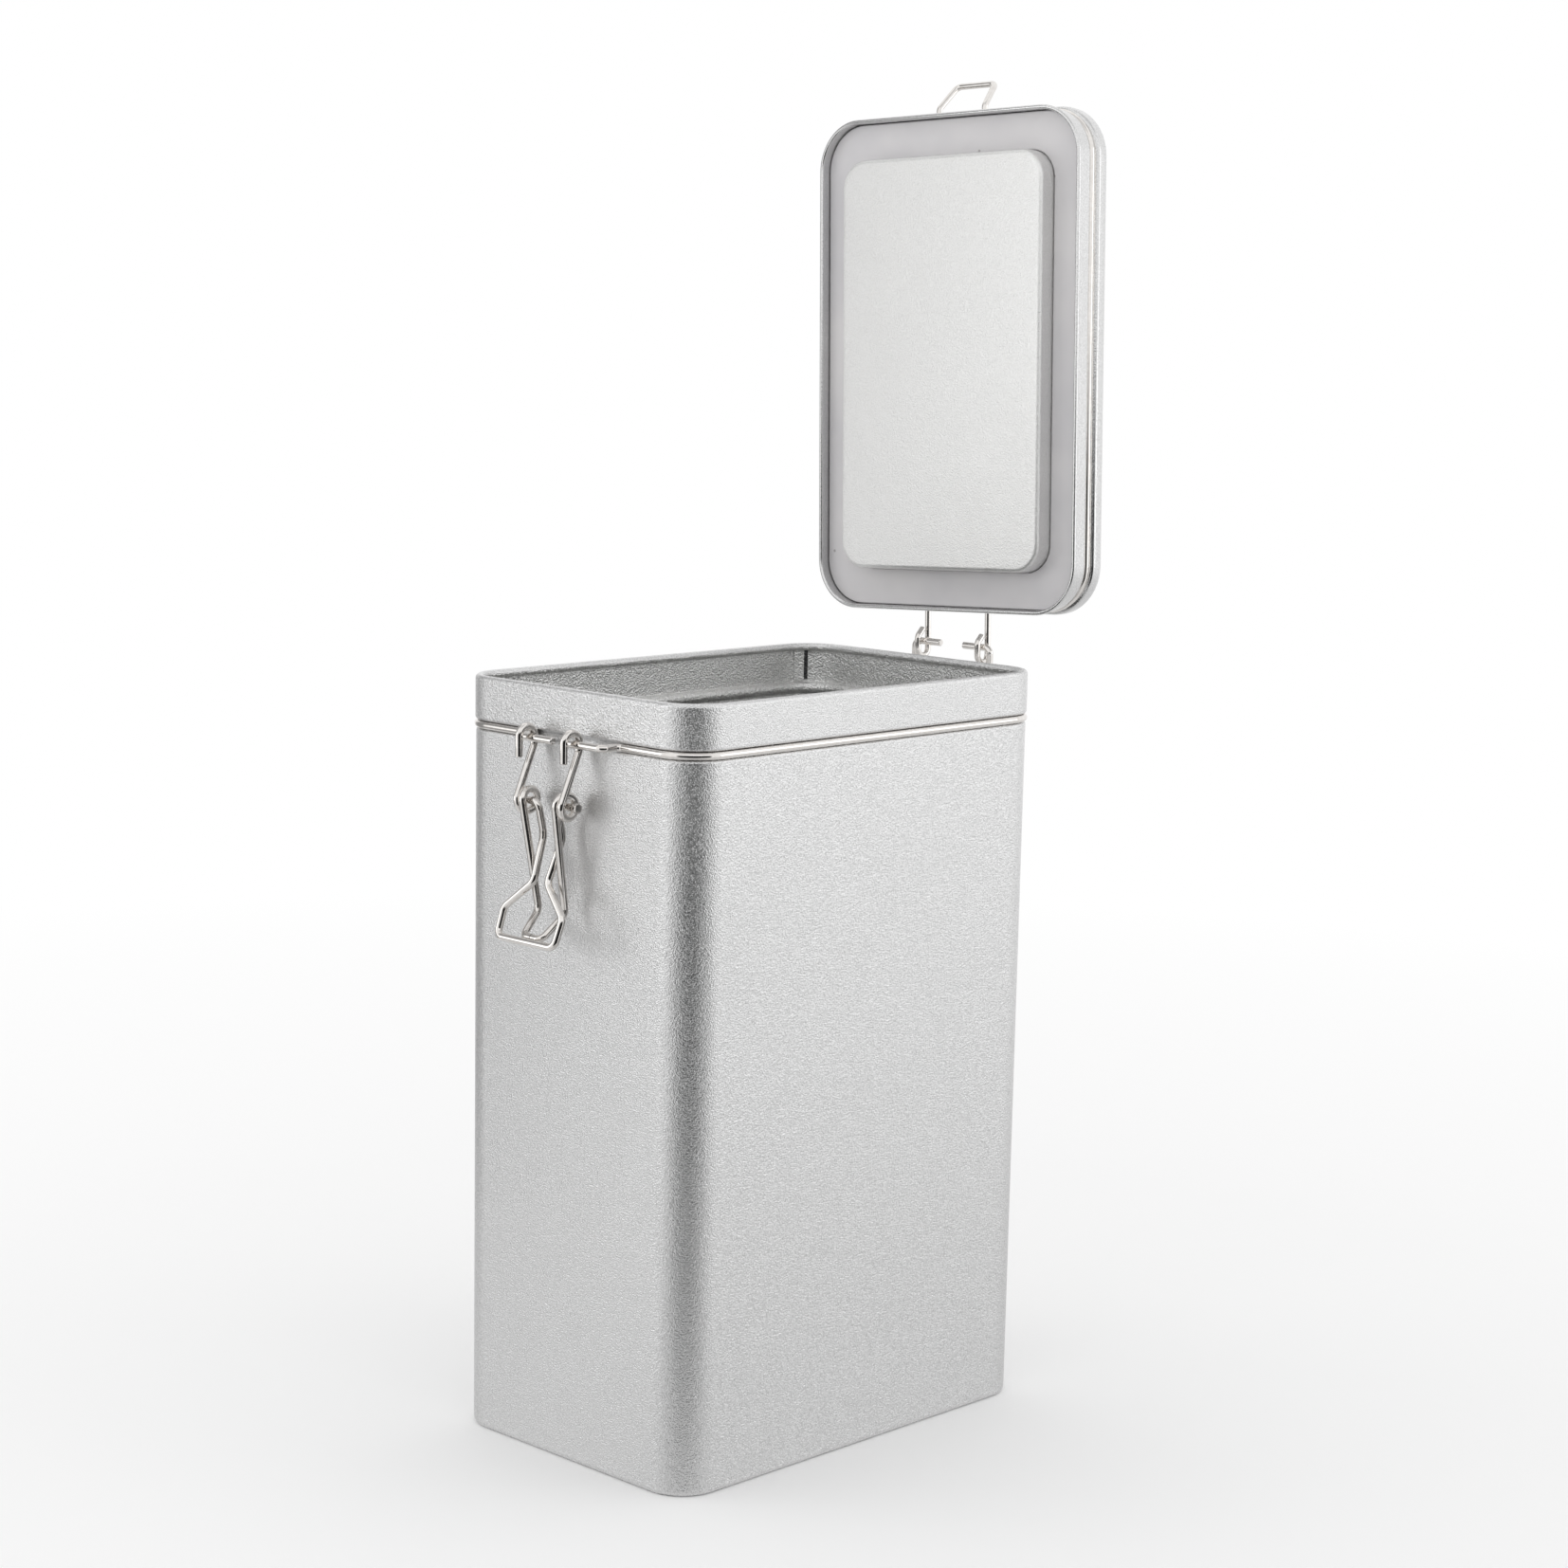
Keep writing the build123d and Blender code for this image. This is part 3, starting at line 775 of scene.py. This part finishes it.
@dataclass
class CanBody:
    """The tinplate body with its foot fold, wire groove, collar, rolled rim and side seam."""

    outline: Outline
    height: float
    finishes: Finishes
    shop: SheetShop = field(default_factory=SheetShop)
    sheet: float = 0.45
    hem_radius: float = 1.1
    foot_flat: float = 0.8
    hem_height: float = 3.2
    collar_step: float = 0.2
    curl_radius: float = 1.0
    curl_turn: float = 255.0
    groove_height: float = 171.4
    band_wire: float = 1.8
    band_sink: float = 0.45
    seam_clear: float = 2.1
    seam_gap: float = 0.03
    seam_steps: int = 8
    seam_fold: tuple[float, float, float] = (146.0, 16.0, 0.35)
    # first angle, turn and thickness of the near-black strip that paints the seam crevice's shade
    seam_crevice_shade_strip: tuple[float, float, float] = (140.0, 6.5, 0.12)

    def build(self) -> None:
        """Builds the body's pieces, with the lapped seam down the inside of one rear corner and a near-black
        strip beside it that paints the shade of the seam's crevice.
        """
        self.build_shell()
        self.lay_strip("side_seam", self.seam_fold, self.finishes.inner)
        self.lay_strip("seam_crevice_shade_strip", self.seam_crevice_shade_strip, self.finishes.weld)
        self.dress_base()

    def build_shell(self) -> None:
        """Folds the body's section and rolls it round the body."""
        groove, below, above = pressed_groove(self.band_wire, self.band_sink, self.sheet, self.collar_step)
        foot = self.hem_radius + self.sheet / 2
        start = (-self.sheet / 2 - 2 * self.hem_radius - self.foot_flat, self.hem_height)
        moves: Moves = [
            Run(self.hem_height - foot),
            Turn(self.hem_radius, 90),
            Run(self.foot_flat),
            Turn(self.hem_radius, 90),
            Run(self.groove_height - below - foot),
            *groove,
            Run(self.height - self.curl_radius - self.groove_height - above),
            Turn(self.curl_radius - self.sheet / 2, self.curl_turn),
        ]
        mesh = self.shop.press(self.outline, start, -90.0, moves, self.sheet)
        self.mark_inside(mesh)
        # The second finish goes on the inner skin; its paler grey is painted bounce light.
        finishes = (self.finishes.wall, self.finishes.inner)
        finish_piece(mesh, "can_wall", Body.CAN, Slot.TINPLATE, *finishes, stands_for=("body_shell",))

    def mark_inside(self, mesh: Mesh) -> None:
        """Marks the faces of the inner skin, below the rolled rim, for the inside finish, whose paler grey is
        painted bounce light.

        Args:
            mesh: the closed wall.
        """
        bmesh.ops.recalc_face_normals(mesh, faces=mesh.faces[:])
        for face in mesh.faces:
            middle = face.calc_center_median()
            inward = face.normal.xy.dot(middle.xy) < 0
            face.material_index = int(inward and middle.z < self.height - self.curl_radius)

    def lay_strip(self, name: str, strip: tuple[float, float, float], material: Material) -> None:
        """Lays one upright strip on the inside of the corner, below and above the groove.

        Args:
            name: the piece's name.
            strip: its first angle round the corner, its turn in degrees and its thickness.
            material: its material.
        """
        start, turn, thickness = strip
        corner = self.outline.corner
        inner = corner - self.sheet - self.seam_gap - thickness
        centre = Vector((corner - self.outline.width / 2, self.outline.depth / 2 - corner, 0))
        out = Vector((math.cos(math.radians(start)), math.sin(math.radians(start)), 0))
        mesh = bmesh.new()
        for low, high, step in (
            (self.hem_height + self.seam_clear, self.groove_height - self.seam_clear, 0.0),
            (self.groove_height + self.seam_clear, self.height - 2 * self.curl_radius, self.collar_step),
        ):
            seed = mesh.verts.new(centre + out * (inner + step) + UP * low)
            Front(mesh, [seed]).draw(out * thickness)
            edge = Front(mesh, list(seed.link_edges))
            edge.draw(UP * (high - low))
            side, angle = list(edge.geom[0].link_faces), math.radians(turn)
            bmesh.ops.spin(mesh, geom=side, cent=centre, axis=UP, angle=angle, steps=self.seam_steps)
        finish_piece(mesh, name, Body.CAN, Slot.TINPLATE, material)

    def dress_base(self) -> None:
        """Gives the base plate of the frame the finish of the inside, with its paler grey of painted bounce
        light.
        """
        plate = bpy.data.objects["base_plate"]
        plate.data.materials.clear()
        plate.data.materials.append(self.finishes.inner)


@dataclass
class BodyBand:
    """The two wires in the body's groove, with the front latch pins and the rear hinge pins."""

    can: CanBody
    hinge: Hinge
    finishes: Finishes
    shop: WireShop = field(default_factory=WireShop)
    bend: float = 1.6
    pin_y: float = -64.2
    pin_shift: float = 1.9
    pin_free_x: float = 2.6
    pin_bend_x: float = 13.7
    hinge_post_x: float = 12.1
    hinge_pin_end_x: float = 4.0

    def build(self) -> None:
        """Bends both wires."""
        for side, word in ((-1, "left"), (1, "right")):
            mesh = self.shop.whole(self.stations(side), self.can.band_wire)
            name, node = f"band_wire_{word}", f"body_band_{word}"
            finish_piece(mesh, name, Body.CAN, Slot.WIRE, self.finishes.wire, stands_for=(node,))

    def stations(self, side: int) -> Stations:
        """Corner points of one wire.

        Args:
            side: -1 for the left wire and 1 for the right.

        Returns:
            The points with their bend radii.
        """
        outline, sink = self.can.outline, self.can.band_sink
        run_x = side * (outline.width / 2 - sink)
        run_y = outline.depth / 2 - sink
        corner = outline.corner - sink
        free = self.pin_shift + side * self.pin_free_x
        bend = self.pin_shift + side * self.pin_bend_x
        post = self.hinge.at(side * self.hinge_post_x)
        pin_end = self.hinge.at(side * self.hinge_pin_end_x)
        flat = (
            (free, self.pin_y, 0),
            (bend, self.pin_y, self.bend),
            (bend, -run_y, self.bend),
            (run_x, -run_y, corner),
            (run_x, run_y, corner),
            (post.x, run_y, self.bend),
            (post.x, post.y, self.bend),
        )
        level = self.can.groove_height
        return [(Vector((x, y, level)), radius) for x, y, radius in flat] + [(post, self.bend), (pin_end, 0)]


@dataclass
class Lid:
    """The lid: outer pressing, raised inner plate, sealing ring and the wire round it."""

    can: CanBody
    hinge: Hinge
    finishes: Finishes
    sheets: SheetShop = field(default_factory=SheetShop)
    wires: WireShop = field(default_factory=WireShop)
    width: float = 82.3
    depth: float = 123.0
    corner: float = 12.2
    shift: float = 0.2
    height: float = 12.2
    sheet: float = 0.4
    bead_radius: float = 0.45
    curl_radius: float = 0.35
    curl_turn: float = 250.0
    groove_height: float = 6.6
    crown_step: float = 0.8
    edge_radius: float = 2.0
    seal_recess: float = 2.8
    seal_thickness: float = 1.6
    seal_edge: float = 0.4
    seal_gap: float = 0.1
    seal_wave: float = 0.05
    seal_wave_scale: float = 0.09
    closed_gap: float = 0.3
    panel_width: float = 63.4
    panel_depth: float = 102.6
    panel_corner: float = 7.0
    panel_rise: float = 5.0
    panel_edge: float = 1.1
    wire: float = 1.6
    wire_sink: float = 0.6
    bend: float = 1.6
    eye_x: float = 9.7
    eye_length: float = 1.7
    eye_return: float = 1.2
    eye_tip_y: float = 3.0
    eye_tip_z: float = 0.2
    catch_x: float = 7.2
    catch_bar_x: float = 6.0
    catch_reach: float = 3.0
    catch_bar_y: float = -69.0
    catch_bar_z: float = 5.7

    @property
    def rim_z(self) -> float:
        """Height of the closed lid's lower edge."""
        return self.can.height + self.closed_gap - self.seal_recess

    @property
    def band_z(self) -> float:
        """Height of the closed lid's wire groove."""
        return self.rim_z + self.groove_height

    def outline(self, inset: float = 0.0, height: float = 0.0) -> Outline:
        """Outline of the closed lid, drawn in by an inset, at a height above its edge."""
        width, depth = self.width - 2 * inset, self.depth - 2 * inset
        return Outline(width, depth, self.corner - inset, self.shift, self.rim_z + height)

    def panel_outline(self, grow: float = 0.0, height: float = 0.0) -> Outline:
        """Outline of the raised panel, let out by an amount, at a height above the lid's edge."""
        width, depth = self.panel_width + 2 * grow, self.panel_depth + 2 * grow
        return Outline(width, depth, self.panel_corner + grow, self.shift, self.rim_z + height)

    def finish(self, mesh: Mesh, name: str, slot: Slot, material: Material, node: str) -> None:
        """Turns a mesh that was made closed to the open rest pose and finishes it."""
        bmesh.ops.rotate(mesh, verts=mesh.verts[:], cent=self.hinge.point, matrix=self.hinge.opened())
        finish_piece(mesh, name, Body.LID, slot, material, stands_for=(node,))

    def build(self) -> None:
        """Builds the lid's pieces."""
        self.build_shell()
        self.build_plate()
        self.build_seal()
        stations = self.half_stations(1) + self.half_stations(-1)[::-1]
        mesh = self.wires.whole(stations, self.wire)
        self.finish(mesh, "lid_wire", Slot.WIRE, self.finishes.wire, "lid_band")

    def build_shell(self) -> None:
        """Folds the skirt with its curled edge, groove and crown, and closes the top."""
        groove, below, above = pressed_groove(self.wire, self.wire_sink, self.sheet, self.crown_step)
        heading = 90.0 + self.curl_turn
        curl_z = self.curl_radius + self.sheet / 2
        moves: Moves = [
            Turn(self.curl_radius, -self.curl_turn),
            Run(self.groove_height - below - curl_z),
            *groove,
            Run(self.height - self.edge_radius - self.groove_height - above),
            Turn(self.edge_radius - self.sheet / 2, 90),
            Run(self.edge_radius),
        ]
        start = (
            self.curl_radius * (1 - math.sin(math.radians(heading))) - self.bead_radius - self.sheet / 2,
            curl_z + self.curl_radius * math.cos(math.radians(heading)),
        )
        mesh = self.sheets.press(self.outline(), start, heading, moves, self.sheet, plate=True)
        self.finish(mesh, "lid_pressing", Slot.TINPLATE, self.finishes.lid, "lid_shell")

    def build_plate(self) -> None:
        """Draws the raised panel with its wall and the flange behind the seal."""
        flange_z = self.seal_recess + self.seal_thickness + self.seal_gap + self.sheet / 2
        reach = (self.width - self.panel_width) / 2 - self.bead_radius - self.sheet - SEAT_GAP
        inner_turn = self.sheet + SEAT_GAP
        panel_face = self.seal_recess - self.panel_rise
        moves: Moves = [
            Run(reach - inner_turn + self.sheet / 2),
            Turn(inner_turn, 90),
            Run(flange_z - inner_turn - panel_face - self.panel_edge),
            Turn(self.panel_edge - self.sheet / 2, -90),
            Run(self.panel_edge),
        ]
        start = (reach, flange_z)
        mesh = self.sheets.press(self.panel_outline(), start, 180.0, moves, self.sheet, plate=True)
        self.finish(mesh, "lid_panel", Slot.TINPLATE, self.finishes.panel, "lid_inner_plate")

    def build_seal(self) -> None:
        """Cuts the soft ring between the skirt and the panel, with rounded, slightly uneven edges."""
        mesh = bmesh.new()
        inset = self.bead_radius + self.sheet + self.seal_gap
        outer = self.sheets.loop(mesh, self.outline(inset, self.seal_recess))
        inner = self.sheets.loop(mesh, self.panel_outline(self.seal_gap, self.seal_recess))
        bmesh.ops.bridge_loops(mesh, edges=outer + inner)
        grown = bmesh.ops.extrude_face_region(mesh, geom=mesh.faces[:], use_keep_orig=True)["geom"]
        bmesh.ops.translate(mesh, verts=of_kind(grown, Vert), vec=(0, 0, self.seal_thickness))
        bmesh.ops.recalc_face_normals(mesh, faces=mesh.faces[:])
        folds = [edge for edge in mesh.edges if len(edge.link_faces) == 2]
        rims = [edge for edge in folds if edge.calc_face_angle() > math.radians(60)]
        bmesh.ops.bevel(
            mesh, geom=rims, offset=self.seal_edge, segments=3, profile=0.5, affect="EDGES", material=-1
        )
        for vert in mesh.verts:
            vert.co.z += self.seal_wave * noise.noise(vert.co * self.seal_wave_scale)
        self.finish(mesh, "seal_ring", Slot.SEAL, self.finishes.seal, "lid_gasket")

    def half_stations(self, side: int) -> Stations:
        """Corner points of one half of the lid's wire, from the hinge eye to the catch.

        Args:
            side: -1 for the left half and 1 for the right.

        Returns:
            The points with their bend radii.
        """
        sink = self.bead_radius + self.wire_sink
        run_x = side * (self.width / 2 - sink)
        rear_y = self.shift + self.depth / 2 - sink
        front_y = self.shift - self.depth / 2 + sink
        corner = self.corner - sink
        band_z = self.band_z
        eye = self.hinge.at(side * self.eye_x)
        eye_radius = band_z - self.hinge.point.z
        eye_end = eye.y + self.eye_length + eye_radius
        low = eye.z - eye_radius
        round_eye = eye_radius - SEAT_GAP
        catch_x = side * self.catch_x
        rows = (
            (eye.x, eye.y - self.eye_tip_y, eye.z - self.eye_tip_z, 0),
            (eye.x, eye.y - self.eye_return, low, self.bend),
            (eye.x, eye_end, low, round_eye),
            (eye.x, eye_end, band_z, round_eye),
            (eye.x, rear_y, band_z, self.bend),
            (run_x, rear_y, band_z, corner),
            (run_x, front_y, band_z, corner),
            (catch_x, front_y, band_z, self.bend),
            (catch_x, front_y - self.catch_reach, band_z, self.bend),
            (side * self.catch_bar_x, self.catch_bar_y, band_z + self.catch_bar_z, self.bend),
        )
        return [(Vector(place), radius) for *place, radius in rows]


@dataclass
class Latch:
    """The clip latch: a lever with two hooks and coil eyes, and the bail threaded through the eyes.

    Points are given as distance to the left of the latch's middle, y and z.
    """

    can: CanBody
    band: BodyBand
    finishes: Finishes
    shop: WireShop = field(default_factory=WireShop)
    wire: float = 1.8
    middle_x: float = -2.0
    bend: float = 1.6
    hook_x: float = 7.6
    hook_radius: float = 2.3
    hook_offset: float = 0.2
    free_drop: float = 4.4
    back_drop: float = 1.8
    coil_y: float = -64.7
    coil_z: float = 157.1
    coil_radius: float = 2.6
    coil_pitch: float = 1.9
    arm_knee: tuple[float, float, float] = (4.5, -63.1, 131.8)
    arm_lip: tuple[float, float, float] = (3.1, -69.05, 126.5)
    arm_bend: float = 3.0
    lip_bend: float = 1.8
    head_x: float = 10.6
    head_radius: float = 1.15
    head_length: float = 0.7
    head_shoulder: float = 0.2
    hub_x: float = 3.2
    hub_bend: float = 1.9
    bail_points: tuple[tuple[float, float, float, float], ...] = (
        (3.2, -62.9, 149.3, 4.5),
        (2.3, -66.6, 139.0, 3.0),
        (10.0, -68.8, 132.3, 2.6),
        (9.7, -71.15, 125.8, 1.9),
    )
    join_reach: float = 0.005

    def build(self) -> None:
        """Builds the lever and the bail."""
        self.build_lever()
        self.build_bail()

    def left(self, x: float, y: float, z: float) -> Vector:
        """Point at a distance to the left of the latch's middle."""
        return Vector((self.middle_x - x, y, z))

    def finish(self, mesh: Mesh, name: str, body: Body, node: str) -> None:
        """Adds the right-hand half of a latch wire, joins the halves in the middle and finishes it.

        Args:
            mesh: the mesh with the left half, which is freed here.
            name: the piece's name.
            body: the body that it rides on.
            node: the frame's node that it replaces.
        """
        copied = bmesh.ops.duplicate(mesh, geom=mesh.verts[:] + mesh.edges[:] + mesh.faces[:])["geom"]
        middle = Matrix.Translation((-self.middle_x, 0, 0))
        bmesh.ops.scale(mesh, verts=of_kind(copied, Vert), vec=(-1, 1, 1), space=middle)
        bmesh.ops.reverse_faces(mesh, faces=of_kind(copied, bmesh.types.BMFace))
        bmesh.ops.remove_doubles(mesh, verts=mesh.verts[:], dist=self.join_reach)
        finish_piece(mesh, name, body, Slot.WIRE, self.finishes.wire, stands_for=(node,))

    def touch(self, outside: Vector, side: int) -> tuple[Vector, float]:
        """Finds where a straight wire from a point meets the coil.

        Args:
            outside: the point, with y and z used.
            side: which of the two tangents, 1 or -1.

        Returns:
            The touching point and its angle round the coil.
        """
        away_y = outside.y - self.coil_y
        away_z = outside.z - self.coil_z
        angle = math.atan2(away_z, away_y) + side * math.acos(self.coil_radius / math.hypot(away_y, away_z))
        y = self.coil_y + self.coil_radius * math.cos(angle)
        z = self.coil_z + self.coil_radius * math.sin(angle)
        return Vector((0, y, z)), angle

    def build_lever(self) -> None:
        """Bends hook, leg, coil eye, arm and finger lip, and mirrors them."""
        leg_x = self.middle_x - self.hook_x
        level = self.can.groove_height
        hook_z = level + self.hook_offset
        front = self.band.pin_y - self.hook_offset - self.hook_radius
        back = self.band.pin_y - self.hook_offset + self.hook_radius
        top = hook_z + self.hook_radius
        hook_bend = self.hook_radius - SEAT_GAP
        knee, lip = self.left(*self.arm_knee), self.left(*self.arm_lip)
        back_foot = Vector((leg_x, back, hook_z - self.back_drop))
        leg_end, leg_angle = self.touch(back_foot, 1)
        arm_start, arm_angle = self.touch(knee, -1)
        turn = 2 * math.pi + (arm_angle - leg_angle) % (2 * math.pi)
        advance = self.coil_pitch * turn / (2 * math.pi)
        leg_end.x = leg_x
        arm_start.x = leg_x + advance
        hook = [
            (Vector((leg_x, front, level - self.free_drop)), 0),
            (Vector((leg_x, front, top)), hook_bend),
            (Vector((leg_x, back, top)), hook_bend),
            (back_foot, self.bend),
            (leg_end, 0),
        ]
        arm = [(arm_start, 0), (knee, self.arm_bend), (lip, self.lip_bend), (self.left(0, lip.y, lip.z), 0)]
        end = self.shop.start(hook[0][0], UP, self.wire)
        self.shop.follow(end, hook)
        coil = Vector((leg_x, self.coil_y, self.coil_z))
        end.swing(coil, SIDE_WAYS, turn, self.shop.steps(turn), SIDE_WAYS * advance)
        self.shop.follow(end, arm)
        self.finish(end.mesh, "lever_wire", Body.LEVER, "latch_lever")

    def build_bail(self) -> None:
        """Bends the bail from its headed end in the coil eye to the middle of its bar, and mirrors it."""
        head = self.left(self.head_x, self.coil_y, self.coil_z)
        length = self.head_length + self.head_shoulder
        neck = head + SIDE_WAYS * (self.shop.end_chamfer + length)
        grip = self.head_radius / (self.wire / 2)
        end = self.shop.start(head, SIDE_WAYS, self.wire)
        end.swell(grip)
        end.draw(SIDE_WAYS * self.head_length)
        end.draw(SIDE_WAYS * self.head_shoulder)
        end.swell(1 / grip)
        stations = [(neck, 0.0), (self.left(self.hub_x, self.coil_y, self.coil_z), self.hub_bend)]
        stations += [(self.left(*place), bend) for *place, bend in self.bail_points]
        corner = stations[-1][0]
        self.shop.follow(end, [*stations, (self.left(0, corner.y, corner.z), 0.0)])
        self.finish(end.mesh, "bail_wire", Body.BAIL, "latch_bail")


# Studio


def toward(azimuth: float, elevation: float = 0.0) -> Vector:
    """Direction from the canister, where azimuth 0 is in front of the latch and 90 on the right."""
    turn, rise = math.radians(azimuth), math.radians(elevation)
    return Vector((math.sin(turn) * math.cos(rise), -math.cos(turn) * math.cos(rise), math.sin(rise)))


@dataclass(frozen=True)
class Card:
    """Plain grey card with soft edges that only mirrored rays see, upright or lying at a level."""

    name: str
    azimuth: float
    distance: float
    width: float
    height: float
    soft: float
    shade: float
    level: float | None = None

    def build(self, mask: Tree) -> None:
        """Makes the card.

        Args:
            mask: the soft mask group.
        """
        mesh = bmesh.new()
        bmesh.ops.create_grid(mesh, x_segments=1, y_segments=1, size=0.5)
        bmesh.ops.scale(mesh, verts=mesh.verts[:], vec=(self.width, self.height, 1))
        card = to_object(mesh, self.name, self.material(mask))
        away = toward(self.azimuth)
        if self.level is None:
            height, facing = self.height / 2 - self.soft, away.to_track_quat("Z", "Y").to_matrix().to_4x4()
        else:
            height, facing = self.level, Matrix.Rotation(math.radians(self.azimuth), 4, "Z")
        card.matrix_world = Matrix.Translation(away * self.distance + UP * height) @ facing
        card.visible_camera = False
        card.visible_diffuse = False
        card.visible_shadow = False

    def material(self, mask: Tree) -> Material:
        """Makes the card's grey with its soft edges.

        Args:
            mask: the soft mask group.

        Returns:
            The material.
        """
        material, graph = new_material(self.name)
        inputs = {"Half Width": self.width / 2, "Half Height": self.height / 2, "Soft": self.soft}
        given = graph.join("ShaderNodeGroup", inputs, node_tree=mask)
        clear = graph.add("ShaderNodeBsdfTransparent")
        shade = (self.shade, self.shade, self.shade, 1.0)
        grey = graph.add("ShaderNodeEmission", Color=shade, Strength=1.0)
        graph.close(graph.mix_shaders(given.outputs["Mask"], clear, grey))
        return material


@dataclass(frozen=True)
class Lamp:
    """Square soft lamp that looks at the canister's middle."""

    name: str
    azimuth: float
    elevation: float
    distance: float
    size: float
    power: float
    aim: float = 0.12

    def build(self) -> None:
        """Hangs the lamp."""
        light = bpy.data.lights.new(self.name, "AREA")
        light.shape = "SQUARE"
        light.size = self.size
        light.energy = self.power
        lamp = bpy.data.objects.new(self.name, light)
        bpy.context.scene.collection.objects.link(lamp)
        back = toward(self.azimuth, self.elevation)
        place = Matrix.Translation(UP * self.aim + back * self.distance)
        lamp.matrix_world = place @ back.to_track_quat("Z", "Y").to_matrix().to_4x4()


@dataclass
class Studio:
    """Plain pale floor, soft light and the camera at the photograph's angle."""

    camera_place: Vector = field(default_factory=lambda: Vector((547.93, -552.96, 273.25)) * MM)
    azimuth: float = 44.19
    elevation: float = 10.225
    roll: float = 1.164
    lens: float = 75.14
    shift_y: float = 0.06
    floor_size: float = 14.0
    floor_near: float = 0.25
    floor_far: float = 0.7
    plain_light: float = 0.95
    lamps: tuple[Lamp, ...] = (
        Lamp("left_lamp", azimuth=-48.0, elevation=6.0, distance=1.3, size=0.7, power=2.2),
        Lamp("right_lamp", azimuth=128.0, elevation=12.0, distance=1.5, size=0.7, power=1.3),
        Lamp("top_lamp", azimuth=20.0, elevation=76.0, distance=1.5, size=0.9, power=0.3),
    )
    cards: tuple[Card, ...] = (
        Card("room_card", 48.0, 0.33, width=0.53, height=0.36, soft=0.06, shade=0.02),
        Card("left_card", -66.0, 0.28, width=0.36, height=0.8, soft=0.12, shade=0.3),
        Card("table_card", 0.0, 0.0, width=2.2, height=2.2, soft=1.0, shade=0.7, level=0.0004),
        Card("front_table_card", 44.0, 0.25, width=0.3, height=0.4, soft=0.12, shade=0.45, level=0.0006),
        Card("roof_card", 44.0, 0.2, width=0.7, height=0.5, soft=0.1, shade=0.7, level=0.8),
    )

    def build(self) -> None:
        """Sets up the whole studio."""
        bpy.context.scene.view_settings.view_transform = "Standard"
        self.build_camera()
        self.build_world()
        self.build_floor()
        for lamp in self.lamps:
            lamp.build()
        mask = soft_mask_group()
        for card in self.cards:
            card.build(mask)

    def build_camera(self) -> None:
        """Places the camera that the photograph was taken with."""
        data = bpy.data.cameras.new("camera")
        data.sensor_width = 36.0
        data.lens = self.lens
        data.shift_y = self.shift_y
        camera = bpy.data.objects.new("camera", data)
        bpy.context.scene.collection.objects.link(camera)
        back = toward(self.azimuth, self.elevation)
        right = (-back).cross(UP).normalized()
        up = right.cross(-back)
        lean = math.radians(self.roll)
        right, up = right * math.cos(lean) + up * math.sin(lean), up * math.cos(lean) - right * math.sin(lean)
        placed = Matrix((right, up, back)).transposed().to_4x4()
        camera.matrix_world = Matrix.Translation(self.camera_place) @ placed
        bpy.context.scene.camera = camera

    def build_world(self) -> None:
        """Makes the world white where it is seen or mirrored, and plain light elsewhere."""
        world = bpy.data.worlds.new("studio")
        bpy.context.scene.world = world
        world.use_nodes = True
        graph = Graph(world.node_tree)
        graph.tree.nodes.clear()
        level = graph.spread(graph.seen(), 0.0, 1.0, self.plain_light, 1.0)
        light = graph.add("ShaderNodeBackground", Color=WHITE, Strength=level)
        graph.add("ShaderNodeOutputWorld", Surface=light.outputs[0])

    def build_floor(self) -> None:
        """Lays the pale floor, which turns plain white away from the canister where it is seen or mirrored."""
        mesh = bmesh.new()
        bmesh.ops.create_grid(mesh, x_segments=2, y_segments=2, size=self.floor_size / 2)
        material, graph = new_material("pale_floor")
        away = graph.join("ShaderNodeVectorMath", {0: graph.place()}, operation="LENGTH")
        far = graph.spread(away.outputs["Value"], self.floor_near, self.floor_far)
        pale = (0.95, 0.95, 0.95, 1.0)
        paper = graph.add("ShaderNodeBsdfPrincipled", Base_Color=pale, Roughness=0.9, Specular_IOR_Level=0.1)
        white = graph.add("ShaderNodeEmission", Color=WHITE, Strength=1.0)
        graph.close(graph.mix_shaders(graph.sum("MULTIPLY", far, graph.seen()), paper, white))
        to_object(mesh, "floor", material)


def main() -> None:
    """Builds the canister's sub-assemblies in order, then the studio."""
    logging.basicConfig(level=logging.INFO, format="%(name)s: %(message)s")
    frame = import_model()
    low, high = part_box("body_shell")
    joint = next(item for item in frame["joints"] if item["name"] == "lid_hinge")
    hinge = Hinge(
        point=Vector(joint["pos_m"]) / MM,
        axis=Vector(joint["axis"]).normalized(),
        open_angle=math.radians(joint["range_deg"][1]),
    )
    finishes = Finishes.make()
    collar = CanBody.collar_step
    corner = 10.4
    size = (high - low) / MM
    outline = Outline(size.x - 2 * collar, size.y - 2 * collar, corner)
    can = CanBody(outline=outline, height=size.z, finishes=finishes)
    band = BodyBand(can=can, hinge=hinge, finishes=finishes)
    lid = Lid(can=can, hinge=hinge, finishes=finishes)
    latch = Latch(can=can, band=band, finishes=finishes)
    for part in (can, band, lid, latch, Studio()):
        part.build()
        LOG.info("built %s", type(part).__name__)


if __name__ == "__main__":
    main()
